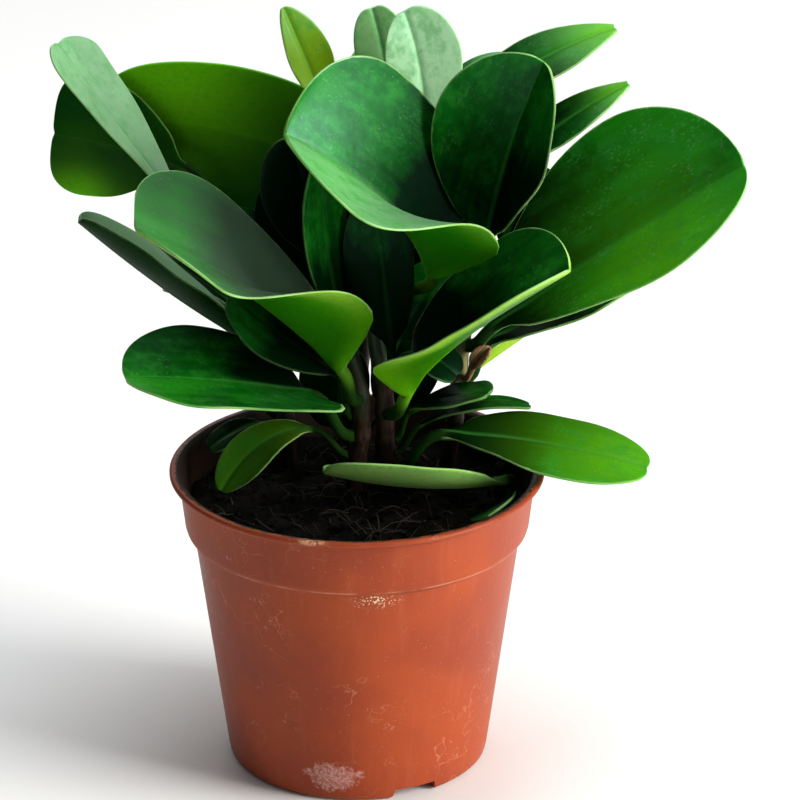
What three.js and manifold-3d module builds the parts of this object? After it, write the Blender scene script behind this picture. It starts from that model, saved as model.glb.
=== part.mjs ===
// A potted peperomia: a thin plastic nursery pot, peat, six succulent stems and their thick leaves.
// Millimetres, +Z up. The origin is the middle of the face that the pot stands on, and -Y is the front.
import * as THREE from "three";
import { mergeVertices } from "three/addons/utils/BufferGeometryUtils.js";
import Module from "manifold-3d";

const wasm = await Module();
wasm.setup();

// Driving dimensions of the pot
const POT_HEIGHT = 98.8;
const LIP_RADIUS = 60;
const LIP_HEIGHT = 1.8;
const COLLAR_TOP_RADIUS = 57;
const COLLAR_BOTTOM_RADIUS = 55.2;
const COLLAR_HEIGHT = 20.8;
const WALL_TOP_RADIUS = 52.4;
const WALL_BOTTOM_RADIUS = 42.2;
const FOOT_RADIUS = 40.6;
const FOOT_WIDTH = 3;
const WALL = 1.3;
const FLOOR_LIFT = 3;
const POT_SIDES = 48;
const NOTCH_COUNT = 3;
const NOTCH_WIDTH = 17;
const NOTCH_HEIGHT = 3.4;
const FIRST_NOTCH_ANGLE = -64;
const DRAIN_COUNT = 6;
const DRAIN_RADIUS = 4;
const DRAIN_CIRCLE_RADIUS = 27;
const BOSS_RADIUS = 7;

// Driving dimensions of the plant
const CLEARANCE = 0.35;
const STEM_TAPER = 0.3;
const STEM_STEP = 9;
const SOIL_LEVEL = 86;
const SOIL_BUMP = 1.1;
const STEM_DEPTH = 14;
const STEM_SIDES = 8;
const BLADE_THICKNESS = 1.5;
const MARGIN_THICKNESS = 0.8;
const BLADE_RINGS = 9;
const PETIOLE_RINGS = 3;
const LOBE_AT = 0.13;
const BLADE_STARTS_AT = 0.16;
const PETIOLE_RADIUS = [1.1, 2];
const PETIOLE_SHARE = 0.028;
const PETIOLE_PULL = 0.35;
const PETIOLE_ANGLES = [162, 126, 90, 54, 18];
const CUP_AT_RIB = 0.7;
const CUP_BEND = 0.6;

const vec = (p) => new THREE.Vector3(...p);

// A closed skin over rings of points, each ring turning anticlockwise as seen from the last one.
// first and last are the points that close its ends. A blade's two faces are split alike.
function skin(rings, first, last) {
  const sides = rings[0].length;
  const points = [...rings.flat(), first, last];
  const index = [];
  for (let r = 0; r + 1 < rings.length; r++) {
    for (let k = 0; k < sides; k++) {
      const a = r * sides + k;
      const b = r * sides + ((k + 1) % sides);
      if (k < sides / 2) {
        index.push(a, b, b + sides, a, b + sides, a + sides);
      } else {
        index.push(a, b, a + sides, b, b + sides, a + sides);
      }
    }
  }
  const end = (rings.length - 1) * sides;
  for (let k = 0; k < sides; k++) {
    const next = (k + 1) % sides;
    index.push(rings.length * sides, next, k);
    index.push(rings.length * sides + 1, end + k, end + next);
  }
  const geometry = new THREE.BufferGeometry().setFromPoints(points);
  geometry.setIndex(index);
  return geometry;
}

// Joins and cuts
function solidOf(geometry) {
  const bare = geometry.clone();
  bare.deleteAttribute("normal");
  bare.deleteAttribute("uv");
  const merged = mergeVertices(bare, 1e-4);
  const mesh = new wasm.Mesh({
    numProp: 3,
    vertProperties: merged.attributes.position.array,
    triVerts: new Uint32Array(merged.index.array),
  });
  return new wasm.Manifold(mesh);
}

function geometryOf(solid) {
  const mesh = solid.getMesh();
  const geometry = new THREE.BufferGeometry();
  geometry.setAttribute("position", new THREE.BufferAttribute(mesh.vertProperties, 3));
  geometry.setIndex(new THREE.BufferAttribute(mesh.triVerts, 1));
  return geometry;
}

// A solid turned from a closed outline of [radius, height] points
function turned(outline) {
  const points = outline.map(([radius, height]) => new THREE.Vector2(radius, height));
  const geometry = new THREE.LatheGeometry(points, POT_SIDES);
  return geometry.rotateX(Math.PI / 2);
}

function upright(radius, bottom, top, sides = 16) {
  const geometry = new THREE.CylinderGeometry(radius, radius, top - bottom, sides);
  return geometry.rotateX(Math.PI / 2).translate(0, 0, (top + bottom) / 2);
}

// Pot: a thin conical wall with a deeper collar, a narrow lip and a foot ring that is cut at three
// places to let water out. A boss under the floor comes down to the standing face.
function potGeometry() {
  const collarTop = POT_HEIGHT - LIP_HEIGHT - 1.4;
  const step = POT_HEIGHT - COLLAR_HEIGHT;
  const floorTop = FLOOR_LIFT + WALL;
  const footInner = FOOT_RADIUS - FOOT_WIDTH;
  const outline = [
    [0, 0],
    [BOSS_RADIUS, 0],
    [BOSS_RADIUS + 1, FLOOR_LIFT],
    [footInner - 0.8, FLOOR_LIFT],
    [footInner, 0],
    [FOOT_RADIUS, 0],
    [FOOT_RADIUS + 1, 0.9],
    [WALL_BOTTOM_RADIUS, 3.6],
    [WALL_TOP_RADIUS, step - 0.5],
    [WALL_TOP_RADIUS + 1.3, step],
    [COLLAR_BOTTOM_RADIUS - 0.5, step + 1],
    [COLLAR_BOTTOM_RADIUS, step + 2.6],
    [COLLAR_TOP_RADIUS, collarTop],
    [LIP_RADIUS - 0.5, POT_HEIGHT - LIP_HEIGHT],
    [LIP_RADIUS, POT_HEIGHT - LIP_HEIGHT + 0.5],
    [LIP_RADIUS, POT_HEIGHT - 0.5],
    [LIP_RADIUS - 0.6, POT_HEIGHT],
    [COLLAR_TOP_RADIUS + 0.7, POT_HEIGHT],
    [COLLAR_TOP_RADIUS - WALL + 0.6, POT_HEIGHT - 0.8],
    [COLLAR_TOP_RADIUS - WALL, collarTop],
    [COLLAR_BOTTOM_RADIUS - WALL, step + 2.2],
    [WALL_TOP_RADIUS - WALL, step - 0.9],
    [WALL_BOTTOM_RADIUS - WALL, floorTop + 1.2],
    [WALL_BOTTOM_RADIUS - WALL - 1.2, floorTop],
    [0, floorTop],
  ];
  let pot = solidOf(turned(outline));
  for (let i = 0; i < NOTCH_COUNT; i++) {
    const notch = new THREE.CylinderGeometry(
      (NOTCH_WIDTH - 3) / Math.SQRT2,
      NOTCH_WIDTH / Math.SQRT2,
      NOTCH_HEIGHT * 2,
      4,
    );
    notch.rotateX(Math.PI / 2).rotateZ(Math.PI / 4).scale(0.9, 1, 1);
    notch.translate(FOOT_RADIUS, 0, 0);
    notch.rotateZ(THREE.MathUtils.degToRad(FIRST_NOTCH_ANGLE + (360 / NOTCH_COUNT) * i));
    pot = pot.subtract(solidOf(notch));
  }
  for (let i = 0; i < DRAIN_COUNT; i++) {
    const hole = upright(DRAIN_RADIUS, -1, floorTop + 1);
    hole.translate(DRAIN_CIRCLE_RADIUS, 0, 0).rotateZ((2 * Math.PI * (i + 0.5)) / DRAIN_COUNT);
    pot = pot.subtract(solidOf(hole));
  }
  return geometryOf(pot);
}

// Peat: fills the pot to a rough, slightly sunken surface, with a plain hole for each stem
function soilHeight(x, y) {
  const bump = Math.sin(0.31 * x + 1.3) * Math.cos(0.27 * y) + 0.6 * Math.sin(0.52 * y - 0.37 * x);
  return SOIL_LEVEL + SOIL_BUMP * bump;
}

function soilGeometry(stems) {
  const step = POT_HEIGHT - COLLAR_HEIGHT;
  const gap = WALL + CLEARANCE;
  const rows = [
    [WALL_BOTTOM_RADIUS - gap - 1.4, FLOOR_LIFT + WALL + CLEARANCE],
    [WALL_BOTTOM_RADIUS - gap, FLOOR_LIFT + WALL + 1.4],
    [WALL_TOP_RADIUS - gap, step - 1],
    [COLLAR_BOTTOM_RADIUS - gap, step + 2.2],
  ];
  const surface = [1, 0.84, 0.66, 0.47, 0.28, 0.12];
  const around = (radius, height) => {
    const ring = [];
    for (let k = 0; k < POT_SIDES; k++) {
      const angle = (2 * Math.PI * k) / POT_SIDES;
      const x = radius * Math.cos(angle);
      const y = radius * Math.sin(angle);
      ring.push(new THREE.Vector3(x, y, height(x, y)));
    }
    return ring;
  };
  const rim = COLLAR_BOTTOM_RADIUS - gap + 0.4;
  const rings = rows.map(([radius, height]) => around(radius, () => height));
  rings.push(...surface.map((share) => around(rim * share, soilHeight)));
  const bottom = new THREE.Vector3(0, 0, FLOOR_LIFT + WALL + CLEARANCE);
  let soil = solidOf(skin(rings, bottom, new THREE.Vector3(0, 0, soilHeight(0, 0))));
  for (const stem of Object.values(stems)) {
    const hole = upright(stem.radius + CLEARANCE, SOIL_LEVEL - STEM_DEPTH - CLEARANCE, SOIL_LEVEL + 9);
    soil = soil.subtract(solidOf(hole.translate(stem.root[0], stem.root[1], 0)));
  }
  return geometryOf(soil);
}

// Stems: each rises straight out of its hole and then follows the points by hand.
// A stem's place is asked for by height.
const STEMS = {
  stem_left: {
    root: [-1, 12],
    radius: 3.2,
    path: [[0, 11, 96], [1.5, 9, 108], [1, 6, 122], [-2, 4, 136], [-6, 4, 150], [-10, 7, 168], [-11, 9, 178]],
  },
  stem_middle: {
    root: [9, 13],
    radius: 3.2,
    path: [[9, 12, 98], [9, 9, 112], [8.5, 6.5, 126], [6, 5.5, 140], [4, 6, 152], [6, 9, 168], [8, 12, 182]],
  },
  stem_right: {
    root: [29, 24],
    radius: 2.8,
    path: [[31, 22, 100], [33, 19, 120], [34, 17, 138], [36, 14, 152], [38, 13, 168], [38, 15, 186]],
  },
  stem_back: {
    root: [0, 36],
    radius: 3.2,
    path: [[0, 36, 104], [2, 35, 130], [1, 34, 152], [3, 33, 172], [6, 33, 192], [6, 34, 204]],
  },
  stem_outer: {
    root: [-22, 30],
    radius: 3,
    path: [[-23, 29, 102], [-26, 26, 124], [-31, 23, 146], [-36, 21, 164], [-40, 20, 178]],
  },
  stem_front: {
    root: [46, 8],
    radius: 2.2,
    path: [[46, 8, 91], [46, 7, 97]],
  },
};

function stemCurve(stem) {
  const [x, y] = stem.root;
  const below = SOIL_LEVEL - STEM_DEPTH;
  return new THREE.CatmullRomCurve3([vec([x, y, below]), vec([x, y, SOIL_LEVEL]), ...stem.path.map(vec)]);
}

function stemAt(stem, height) {
  const curve = stemCurve(stem);
  let low = 0;
  let high = 1;
  for (let i = 0; i < 24; i++) {
    const middle = (low + high) / 2;
    if (curve.getPointAt(middle).z < height) low = middle;
    else high = middle;
  }
  return { point: curve.getPointAt(low), along: curve.getTangentAt(low), radius: stemRadius(stem, low) };
}

function stemRadius(stem, share) {
  return stem.radius * (1 - STEM_TAPER * share ** 2);
}

function stemGeometry(stem) {
  const curve = stemCurve(stem);
  const count = Math.max(5, Math.round(curve.getLength() / STEM_STEP));
  const rings = [];
  const side = new THREE.Vector3(1, 0, 0);
  for (let i = 0; i <= count; i++) {
    const along = curve.getTangentAt(i / count);
    const centre = curve.getPointAt(i / count);
    const across = side.clone().addScaledVector(along, -side.dot(along)).normalize();
    const other = along.clone().cross(across);
    const radius = stemRadius(stem, i / count);
    const ring = [];
    for (let k = 0; k < STEM_SIDES; k++) {
      const angle = (2 * Math.PI * k) / STEM_SIDES;
      const point = centre.clone().addScaledVector(across, radius * Math.cos(angle));
      ring.push(point.addScaledVector(other, radius * Math.sin(angle)));
    }
    rings.push(ring);
  }
  const top = curve.getPointAt(1).addScaledVector(curve.getTangentAt(1), stem.radius * 0.6);
  return skin(rings, curve.getPointAt(0), top);
}

// Leaves: a midrib from base to tip by way of a point that it bends towards, the direction that its
// upper face looks in, half widths to the left and right of the midrib, and how steeply each half
// rises from it, in degrees, at the base and at the tip. The petiole leaves its stem at the height
// in "from". What a leaf doesn't state is as in PLAIN_LEAF: opens is the share of the length by which
// the halves have come down to their rise at the tip, lobes are how far the halves reach back past
// the base, full is under 1 where the base is broad, taper over 0.5 where the tip is narrow, and
// widest is the share of the length at which the blade is widest.
const PLAIN_LEAF = {
  left: [20, 10],
  right: [20, 10],
  opens: 0.6,
  lobes: [0, 0],
  full: 1,
  taper: 0.5,
  widest: 0.6,
};
const LEAVES = {
  leaf_back_tip: {
    stem: "stem_back", from: 196, base: [-9, 33, 206], via: [-15, 36, 222], tip: [-23, 34, 242],
    face: [0.3, -0.8, 0.4], halves: [6, 9], taper: 0.9, widest: 0.5,
  },
  leaf_back_pale_left: {
    stem: "stem_back", from: 188, base: [11, 40, 202], via: [10, 45, 222], tip: [5, 46, 238],
    face: [0, -0.9, 0.3], halves: [9, 9],
  },
  leaf_back_pale_right: {
    stem: "stem_back", from: 180, base: [22, 30, 200], via: [22, 33, 224], tip: [15, 30, 242],
    face: [0.1, -0.9, 0.4], halves: [11, 14],
  },
  leaf_right_top: {
    stem: "stem_right", from: 184, base: [32, 26, 206], via: [54, 32, 226], tip: [83, 44, 231],
    face: [-0.2, -0.5, 0.85], halves: [10, 11], full: 0.8, taper: 1.1, widest: 0.5,
  },
  leaf_right_high: {
    stem: "stem_right", from: 176, base: [48, 20, 192], via: [64, 25, 207], tip: [87, 34, 216],
    face: [-0.3, -0.6, 0.7], halves: [7, 8], full: 0.8, taper: 1.2, widest: 0.45,
  },
  leaf_front_upright: {
    stem: "stem_right", from: 160, base: [41, 1, 174], via: [45, -4, 206], tip: [58, -13, 240],
    face: [-0.2, -0.9, 0.3], halves: [26, 20], left: [22, 16], right: [50, 42],
  },
  leaf_front_big: {
    stem: "stem_middle", from: 158, base: [24, -4, 166], via: [15, -14, 195], tip: [-22, -37, 225],
    face: [0.1, -0.4, 0.9], halves: [36, 36], left: [79, 12], right: [46, 48], opens: 0.85,
    lobes: [5, 0], full: 0.3, taper: 0.42, widest: 0.7,
  },
  leaf_far_left: {
    stem: "stem_outer", from: 174, base: [-55, 8, 184], via: [-72, 14, 205], tip: [-94, 26, 233],
    face: [0.66, -0.3, 0.66], halves: [12, 15], left: [20, 10], widest: 0.86, full: 1.1, taper: 0.5,
  },
  leaf_left_shade: {
    stem: "stem_outer", from: 164, base: [-54, 35, 188], via: [-75, 42, 194], tip: [-97, 42, 197],
    face: [0, 0.9, 0.3], halves: [25, 25], left: [8, 4], right: [8, 4], widest: 0.75, taper: 0.24,
  },
  leaf_left_top: {
    stem: "stem_outer", from: 156, base: [-6, 29, 187], via: [-32, 38, 203], tip: [-80, 44, 201],
    face: [0.05, 0.9, 0.3], halves: [25, 31], left: [8, 4], right: [8, 4], full: 0.24, taper: 0.28,
    widest: 0.4,
  },
  leaf_left_cup: {
    stem: "stem_left", from: 121, base: [-5, -4, 134], via: [-36, -12, 170], tip: [-68, -30, 192],
    face: [0, -0.2, 1], halves: [32, 31], left: [90, 10], right: [12, 28], opens: 0.8, lobes: [5, 0],
    full: 0.36, taper: 0.42, widest: 0.72,
  },
  leaf_left_edge: {
    stem: "stem_outer", from: 124, base: [-34, 16, 136], via: [-58, 16, 150], tip: [-88, 14, 178],
    face: [0, 0, 1], halves: [13, 15], left: [62, 40], right: [24, 18],
  },
  leaf_left_under: {
    stem: "stem_left", from: 113, base: [-6, 3, 129], via: [-20, -2, 140], tip: [-40, 4, 156],
    face: [0.2, -0.4, 0.9], halves: [15, 14],
  },
  leaf_left_pale: {
    stem: "stem_outer", from: 104, base: [-33, 28, 119], via: [-40, 30, 126], tip: [-53, 32, 127],
    face: [0, 0.3, 0.95], halves: [9, 9],
  },
  leaf_left_low: {
    stem: "stem_left", from: 106, base: [-15, -5, 126], via: [-46, -12, 135], tip: [-73, -20, 138],
    face: [0, -0.26, 0.97], halves: [23, 22], left: [15, 15], right: [15, 15], lobes: [17, 2], full: 0.7,
  },
  leaf_right_cup: {
    stem: "stem_middle", from: 115, base: [16, -4, 126], via: [25, -15, 147], tip: [66, -35, 180],
    face: [-0.3, -0.3, 1], halves: [23, 24], left: [30, 30], right: [76, 32], lobes: [0, 6], full: 0.4,
    taper: 0.45, widest: 0.7, opens: 0.5,
  },
  leaf_right_big: {
    stem: "stem_right", from: 134, base: [43, 10, 142], via: [74, 2, 170], tip: [121, -8, 204],
    face: [-0.25, -0.7, 0.7], halves: [35, 22], left: [24, 20], right: [22, 16], full: 0.85,
    widest: 0.66,
  },
  leaf_right_under: {
    stem: "stem_right", from: 122, base: [41, 18, 133], via: [62, 20, 144], tip: [104, 22, 168],
    face: [-0.2, -0.3, 0.9], halves: [15, 15], left: [15, 10], right: [15, 10],
  },
  leaf_right_lime: {
    stem: "stem_right", from: 106, base: [36, 26, 120], via: [44, 32, 124], tip: [59, 42, 130],
    face: [-0.4, 0.5, 0.75], halves: [8, 8],
  },
  leaf_right_hanging: {
    stem: "stem_middle", from: 127, base: [16, 8, 134], via: [25, 5, 136], tip: [32, 3, 128],
    face: [0.2, -0.3, 0.9], halves: [9, 9], left: [10, 5], right: [10, 5],
  },
  leaf_right_small: {
    stem: "stem_middle", from: 103, base: [17, 9, 114], via: [27, 3, 122], tip: [42, -4, 125],
    face: [0, 0, 1], halves: [13, 11], left: [10, 3], right: [10, 3], full: 0.6,
  },
  leaf_right_dark: {
    stem: "stem_middle", from: 98, base: [20, 11, 108], via: [37, 12, 120], tip: [56, 15, 113],
    face: [0, 0, 1], halves: [4, 7], left: [10, 3], right: [10, 3], full: 0.7,
  },
  leaf_right_low: {
    stem: "stem_middle", from: 93, base: [27, -1, 110], via: [58, 1, 109], tip: [93, -6, 100],
    face: [0, -0.2, 0.98], halves: [16, 18], left: [10, 2], right: [10, 2], full: 0.8,
  },
  leaf_front_low: {
    stem: "stem_front", from: 92, base: [48, -3, 95], via: [20, -12, 94], tip: [-11, -16, 104],
    face: [0, 0, 1], halves: [15, 10], left: [50, 46], right: [8, 4],
  },
  leaf_pot_right: {
    stem: "stem_front", from: 88.5, base: [49, 0, 88.6], via: [51, -13, 94], tip: [40, -33, 95],
    face: [-0.6, -0.1, 0.8], halves: [3, 10], left: [10, 5], right: [10, 5], full: 0.8,
  },
  leaf_pot_left: {
    stem: "stem_left", from: 98, base: [-14, 4, 110], via: [-32, 4, 111], tip: [-44, 4, 88],
    face: [0.3, -0.6, 0.7], halves: [7, 7], left: [10, 5], right: [10, 5], taper: 0.8,
  },
  leaf_pot_dim: {
    stem: "stem_outer", from: 96, base: [-30, 24, 103], via: [-38, 22, 104], tip: [-48, 20, 96],
    face: [0, -0.2, 0.9], halves: [6, 6], left: [10, 5], right: [10, 5],
  },
  leaf_centre_strip: {
    stem: "stem_left", from: 144, base: [-4, -6, 150], via: [-13, -14, 182], tip: [-10, -16, 212],
    face: [0.78, -0.6, 0.1], halves: [11, 11], left: [10, 5], right: [10, 5], full: 0.6,
  },
  leaf_centre_teal: {
    stem: "stem_middle", from: 128, base: [13, 15, 136], via: [20, 15, 149], tip: [28, 13, 163],
    face: [0, -0.9, 0.4], halves: [9, 13], left: [10, 5], right: [10, 5], full: 0.7,
  },
  leaf_centre_dark: {
    stem: "stem_middle", from: 154, base: [12, 18, 166], via: [20, 20, 176], tip: [30, 18, 192],
    face: [-0.1, -0.8, 0.4], halves: [15, 12], left: [10, 5], right: [10, 5],
  },
  leaf_centre_shade: {
    stem: "stem_middle", from: 130, base: [11, -3, 140], via: [9, -8, 168], tip: [5, -8, 194],
    face: [0, -1, 0.15], halves: [12, 10], left: [10, 5], right: [10, 5], full: 0.8,
  },
  leaf_centre_left: {
    stem: "stem_left", from: 160, base: [-8, 0, 170], via: [-14, -3, 190], tip: [-21, -8, 214],
    face: [0.1, -0.95, 0.3], halves: [15, 14], full: 0.7,
  },
  leaf_centre_rear_left: {
    stem: "stem_back", from: 136, base: [-8, 16, 146], via: [-18, 17, 168], tip: [-24, 16, 192],
    face: [0, -0.95, 0.3], halves: [13, 13], left: [10, 5], right: [10, 5], full: 0.7,
  },
  leaf_centre_rear_right: {
    stem: "stem_back", from: 140, base: [12, 29, 154], via: [24, 28, 168], tip: [34, 25, 186],
    face: [0, -0.95, 0.3], halves: [17, 17], left: [10, 5], right: [10, 5], full: 0.7,
  },
  leaf_centre_low_left: {
    stem: "stem_back", from: 92, base: [-4, 31, 97], via: [-6, 28, 110], tip: [-6, 25, 132],
    face: [0, -0.95, 0.3], halves: [13, 10], left: [10, 5], right: [10, 5], full: 0.6,
  },
  leaf_centre_low_right: {
    stem: "stem_back", from: 98, base: [9, 29, 105], via: [14, 24, 114], tip: [20, 21, 138],
    face: [0, -0.95, 0.3], halves: [11, 11], left: [10, 5], right: [10, 5], full: 0.6,
  },
  leaf_right_sliver: {
    stem: "stem_right", from: 150, base: [46, 18, 166], via: [52, 22, 182], tip: [61, 24, 192],
    face: [-0.3, -0.8, 0.4], halves: [9, 9], left: [10, 5], right: [10, 5],
  },
  leaf_rear_low_left: {
    stem: "stem_outer", from: 126, base: [-38, 46, 132], via: [-48, 58, 138], tip: [-56, 70, 132],
    face: [0, 0.1, 1], halves: [15, 15],
  },
  leaf_rear_low_middle: {
    stem: "stem_back", from: 104, base: [0, 48, 114], via: [0, 66, 126], tip: [4, 92, 118],
    face: [0, 0.1, 1], halves: [19, 19], full: 0.8,
  },
  leaf_rear_low_right: {
    stem: "stem_right", from: 118, base: [34, 36, 128], via: [46, 54, 138], tip: [58, 74, 130],
    face: [0, 0.1, 1], halves: [18, 18],
  },
  leaf_rear_left: {
    stem: "stem_outer", from: 138, base: [-34, 36, 146], via: [-44, 54, 166], tip: [-58, 78, 174],
    face: [0.1, -0.1, 1], halves: [20, 20], full: 0.8,
  },
  leaf_rear_middle: {
    stem: "stem_back", from: 132, base: [0, 46, 144], via: [-2, 66, 164], tip: [-8, 96, 168],
    face: [0, -0.1, 1], halves: [21, 21], full: 0.7,
  },
  leaf_rear_right: {
    stem: "stem_back", from: 148, base: [14, 44, 158], via: [30, 60, 176], tip: [48, 82, 182],
    face: [-0.1, -0.2, 1], halves: [19, 19], full: 0.8,
  },
  leaf_rear_high_left: {
    stem: "stem_back", from: 168, base: [-8, 44, 178], via: [-22, 60, 194], tip: [-40, 74, 198],
    face: [0.3, -0.2, 0.9], halves: [18, 18], full: 0.8,
  },
  leaf_rear_high_right: {
    stem: "stem_back", from: 162, base: [18, 42, 176], via: [36, 54, 200], tip: [56, 66, 212],
    face: [-0.3, -0.4, 0.9], halves: [18, 18],
  },
  leaf_rear_upright: {
    stem: "stem_back", from: 176, base: [8, 48, 186], via: [12, 60, 202], tip: [14, 76, 218],
    face: [0, -0.6, 0.7], halves: [16, 16],
  },
  leaf_side_left: {
    stem: "stem_outer", from: 130, base: [-40, 34, 140], via: [-56, 46, 152], tip: [-76, 56, 152],
    face: [0.1, 0, 1], halves: [16, 16],
  },
  leaf_side_right: {
    stem: "stem_right", from: 138, base: [48, 28, 152], via: [64, 38, 172], tip: [90, 48, 182],
    face: [-0.2, -0.2, 1], halves: [17, 17],
  },
};

// A withered bract, curled and brown, where a leaf stood
const BRACT = {
  stem: "stem_right", from: 122, base: [37, 13, 127], via: [39, 11, 131], tip: [43, 10, 136],
  face: [-0.3, -0.8, 0.4], halves: [4, 4], left: [60, 50], right: [60, 50], taper: 0.8,
};

// Blade outline: how wide a half is at a share of the way along, against its widest
function outline(leaf, share) {
  const { widest, full, taper } = leaf;
  if (share < widest) return Math.sin((Math.PI / 2) * (share / widest)) ** full;
  return Math.max(0, 1 - ((share - widest) / (1 - widest)) ** 2) ** taper;
}

// A point across one half: arc is the distance from the midrib, width the half's own width there
function across(arc, width, cup) {
  const start = CUP_AT_RIB * cup;
  const bend = CUP_BEND * cup * (arc / width);
  const lean = start + bend / 2;
  return { out: arc * Math.cos(lean), up: arc * Math.sin(lean), lean: start + bend };
}

const SPREAD = [-1, -0.55, 0, 0.55, 1];
const mix = THREE.MathUtils.lerp;
const ease = (x) => THREE.MathUtils.smoothstep(x, 0, 1);
const radians = THREE.MathUtils.degToRad;

// One ring of a blade, from left to right over the upper face and back under it. At the midrib the
// thickness is laid halfway between the two halves.
function bladeRing(leaf, share, centre, along, face, petiole) {
  const right = along.clone().cross(face);
  const body = ease(share / BLADE_STARTS_AT);
  const lobe = (share / LOBE_AT) * Math.exp(1 - share / LOBE_AT);
  const opened = ease(share / leaf.opens);
  const cups = [leaf.left, leaf.right].map(([atBase, atTip]) => radians(mix(atBase, atTip, opened)));
  const ribTurn = (CUP_AT_RIB * (cups[1] - cups[0])) / 2;
  const upper = [];
  const lower = [];
  SPREAD.forEach((place, k) => {
    const side = place < 0 ? 0 : 1;
    const width = petiole + (leaf.halves[side] - petiole) * outline(leaf, share);
    const arc = Math.abs(place) * width;
    const { out, up, lean } = across(arc, width, cups[side]);
    const turn = place === 0 ? ribTurn : lean;
    const sign = side ? 1 : -1;
    const half = mix(BLADE_THICKNESS, MARGIN_THICKNESS, place * place) / 2;
    const back = leaf.lobes[side] * lobe * place * place;
    const angle = radians(PETIOLE_ANGLES[k]);
    for (const [list, over] of [[upper, 1], [lower, -1]]) {
      const bladeX = sign * (out - over * half * Math.sin(turn));
      const bladeY = up + over * half * Math.cos(turn);
      const x = mix(petiole * Math.cos(angle), bladeX, body);
      const y = mix(over * petiole * Math.sin(angle), bladeY, body);
      const point = centre.clone().addScaledVector(right, x).addScaledVector(face, y);
      list.push(point.addScaledVector(along, -back));
    }
  });
  return [...upper, ...lower.reverse()];
}

function squareTo(direction, along) {
  return direction.clone().addScaledVector(along, -direction.dot(along)).normalize();
}

function leafGeometry(shape) {
  const leaf = { ...PLAIN_LEAF, ...shape };
  const midrib = new THREE.QuadraticBezierCurve3(vec(leaf.base), vec(leaf.via), vec(leaf.tip));
  const length = midrib.getLength();
  const petiole = THREE.MathUtils.clamp(length * PETIOLE_SHARE, ...PETIOLE_RADIUS);
  const { point: axis, along: rise, radius } = stemAt(STEMS[leaf.stem], leaf.from);
  const away = squareTo(vec(leaf.base).sub(axis), rise);
  const start = axis.clone().addScaledVector(away, radius + CLEARANCE);
  const reach = start.distanceTo(vec(leaf.base));
  const stalk = new THREE.CubicBezierCurve3(
    start,
    start.clone().addScaledVector(away, reach * PETIOLE_PULL),
    vec(leaf.base).addScaledVector(midrib.getTangentAt(0), -reach * PETIOLE_PULL),
    vec(leaf.base),
  );
  let face = squareTo(vec(leaf.face), midrib.getTangentAt(0));
  const rings = [];
  for (let i = PETIOLE_RINGS - 1; i >= 0; i--) {
    const along = stalk.getTangentAt(i / PETIOLE_RINGS);
    face = squareTo(face, along);
    rings.unshift(bladeRing(leaf, 0, stalk.getPointAt(i / PETIOLE_RINGS), along, face, petiole));
  }
  for (let i = 0; i < BLADE_RINGS; i++) {
    const share = Math.sin((Math.PI / 2) * (i / BLADE_RINGS));
    const along = midrib.getTangentAt(share);
    const upward = squareTo(vec(leaf.face), along);
    rings.push(bladeRing(leaf, share, midrib.getPointAt(share), along, upward, petiole));
  }
  return skin(rings, start, vec(leaf.tip));
}

// Materials
const finish = (color, roughness) => new THREE.MeshStandardMaterial({ color, roughness, metalness: 0 });
const POT_PLASTIC = () => finish(0xa5482c, 0.5);
const PEAT = () => finish(0x14100d, 0.95);
const STEM_SKIN = () => finish(0x5a3420, 0.55);
const LEAF_SKIN = () => finish(0x1d6a2b, 0.3);

function piece(name, geometry, material) {
  const mesh = new THREE.Mesh(geometry, material);
  mesh.name = name;
  return mesh;
}

const plant = new THREE.Group();
plant.add(piece("pot", potGeometry(), POT_PLASTIC()));
plant.add(piece("soil", soilGeometry(STEMS), PEAT()));
for (const [name, stem] of Object.entries(STEMS)) plant.add(piece(name, stemGeometry(stem), STEM_SKIN()));
for (const [name, leaf] of Object.entries(LEAVES)) plant.add(piece(name, leafGeometry(leaf), LEAF_SKIN()));
plant.add(piece("bract", leafGeometry(BRACT), STEM_SKIN()));

export default plant;
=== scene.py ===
"""A potted peperomia: fine glossy leaves, brown stems, peat and a plastic pot around the CAD part.

Metres in the scene, millimetres in the tables. The part stands on z = 0 with its front towards -Y.
"""

import random
from functools import reduce
from math import atan, cos, exp, hypot, pi, radians, sin, sqrt

import bpy
import numpy as np
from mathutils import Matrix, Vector, noise


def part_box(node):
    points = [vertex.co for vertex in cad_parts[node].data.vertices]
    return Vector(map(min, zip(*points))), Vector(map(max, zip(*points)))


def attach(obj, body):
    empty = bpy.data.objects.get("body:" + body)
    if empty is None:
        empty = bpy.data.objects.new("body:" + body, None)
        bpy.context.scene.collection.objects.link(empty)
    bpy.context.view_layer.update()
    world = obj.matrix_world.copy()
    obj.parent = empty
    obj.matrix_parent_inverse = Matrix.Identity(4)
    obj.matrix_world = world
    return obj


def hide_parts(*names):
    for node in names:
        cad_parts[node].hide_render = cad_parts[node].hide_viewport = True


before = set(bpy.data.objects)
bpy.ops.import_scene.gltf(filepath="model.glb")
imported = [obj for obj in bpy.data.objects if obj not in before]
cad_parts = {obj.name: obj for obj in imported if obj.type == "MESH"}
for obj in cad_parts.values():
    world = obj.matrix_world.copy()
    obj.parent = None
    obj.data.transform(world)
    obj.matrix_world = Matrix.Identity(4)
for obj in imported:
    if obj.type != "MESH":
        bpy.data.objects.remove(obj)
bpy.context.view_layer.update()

MM = 0.001
TURN = 2 * pi

# Camera: where the photograph was taken from, found from the rim's ellipse
CAMERA_DISTANCE = 1.6
CAMERA_ELEVATION = 23.7
PIXELS_WIDE = 800
FOCAL_PIXELS = 5004
AIM_HEIGHT = 0.0988
AIM_PIXEL = (353.1, 465.9)
SENSOR = 36

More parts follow.
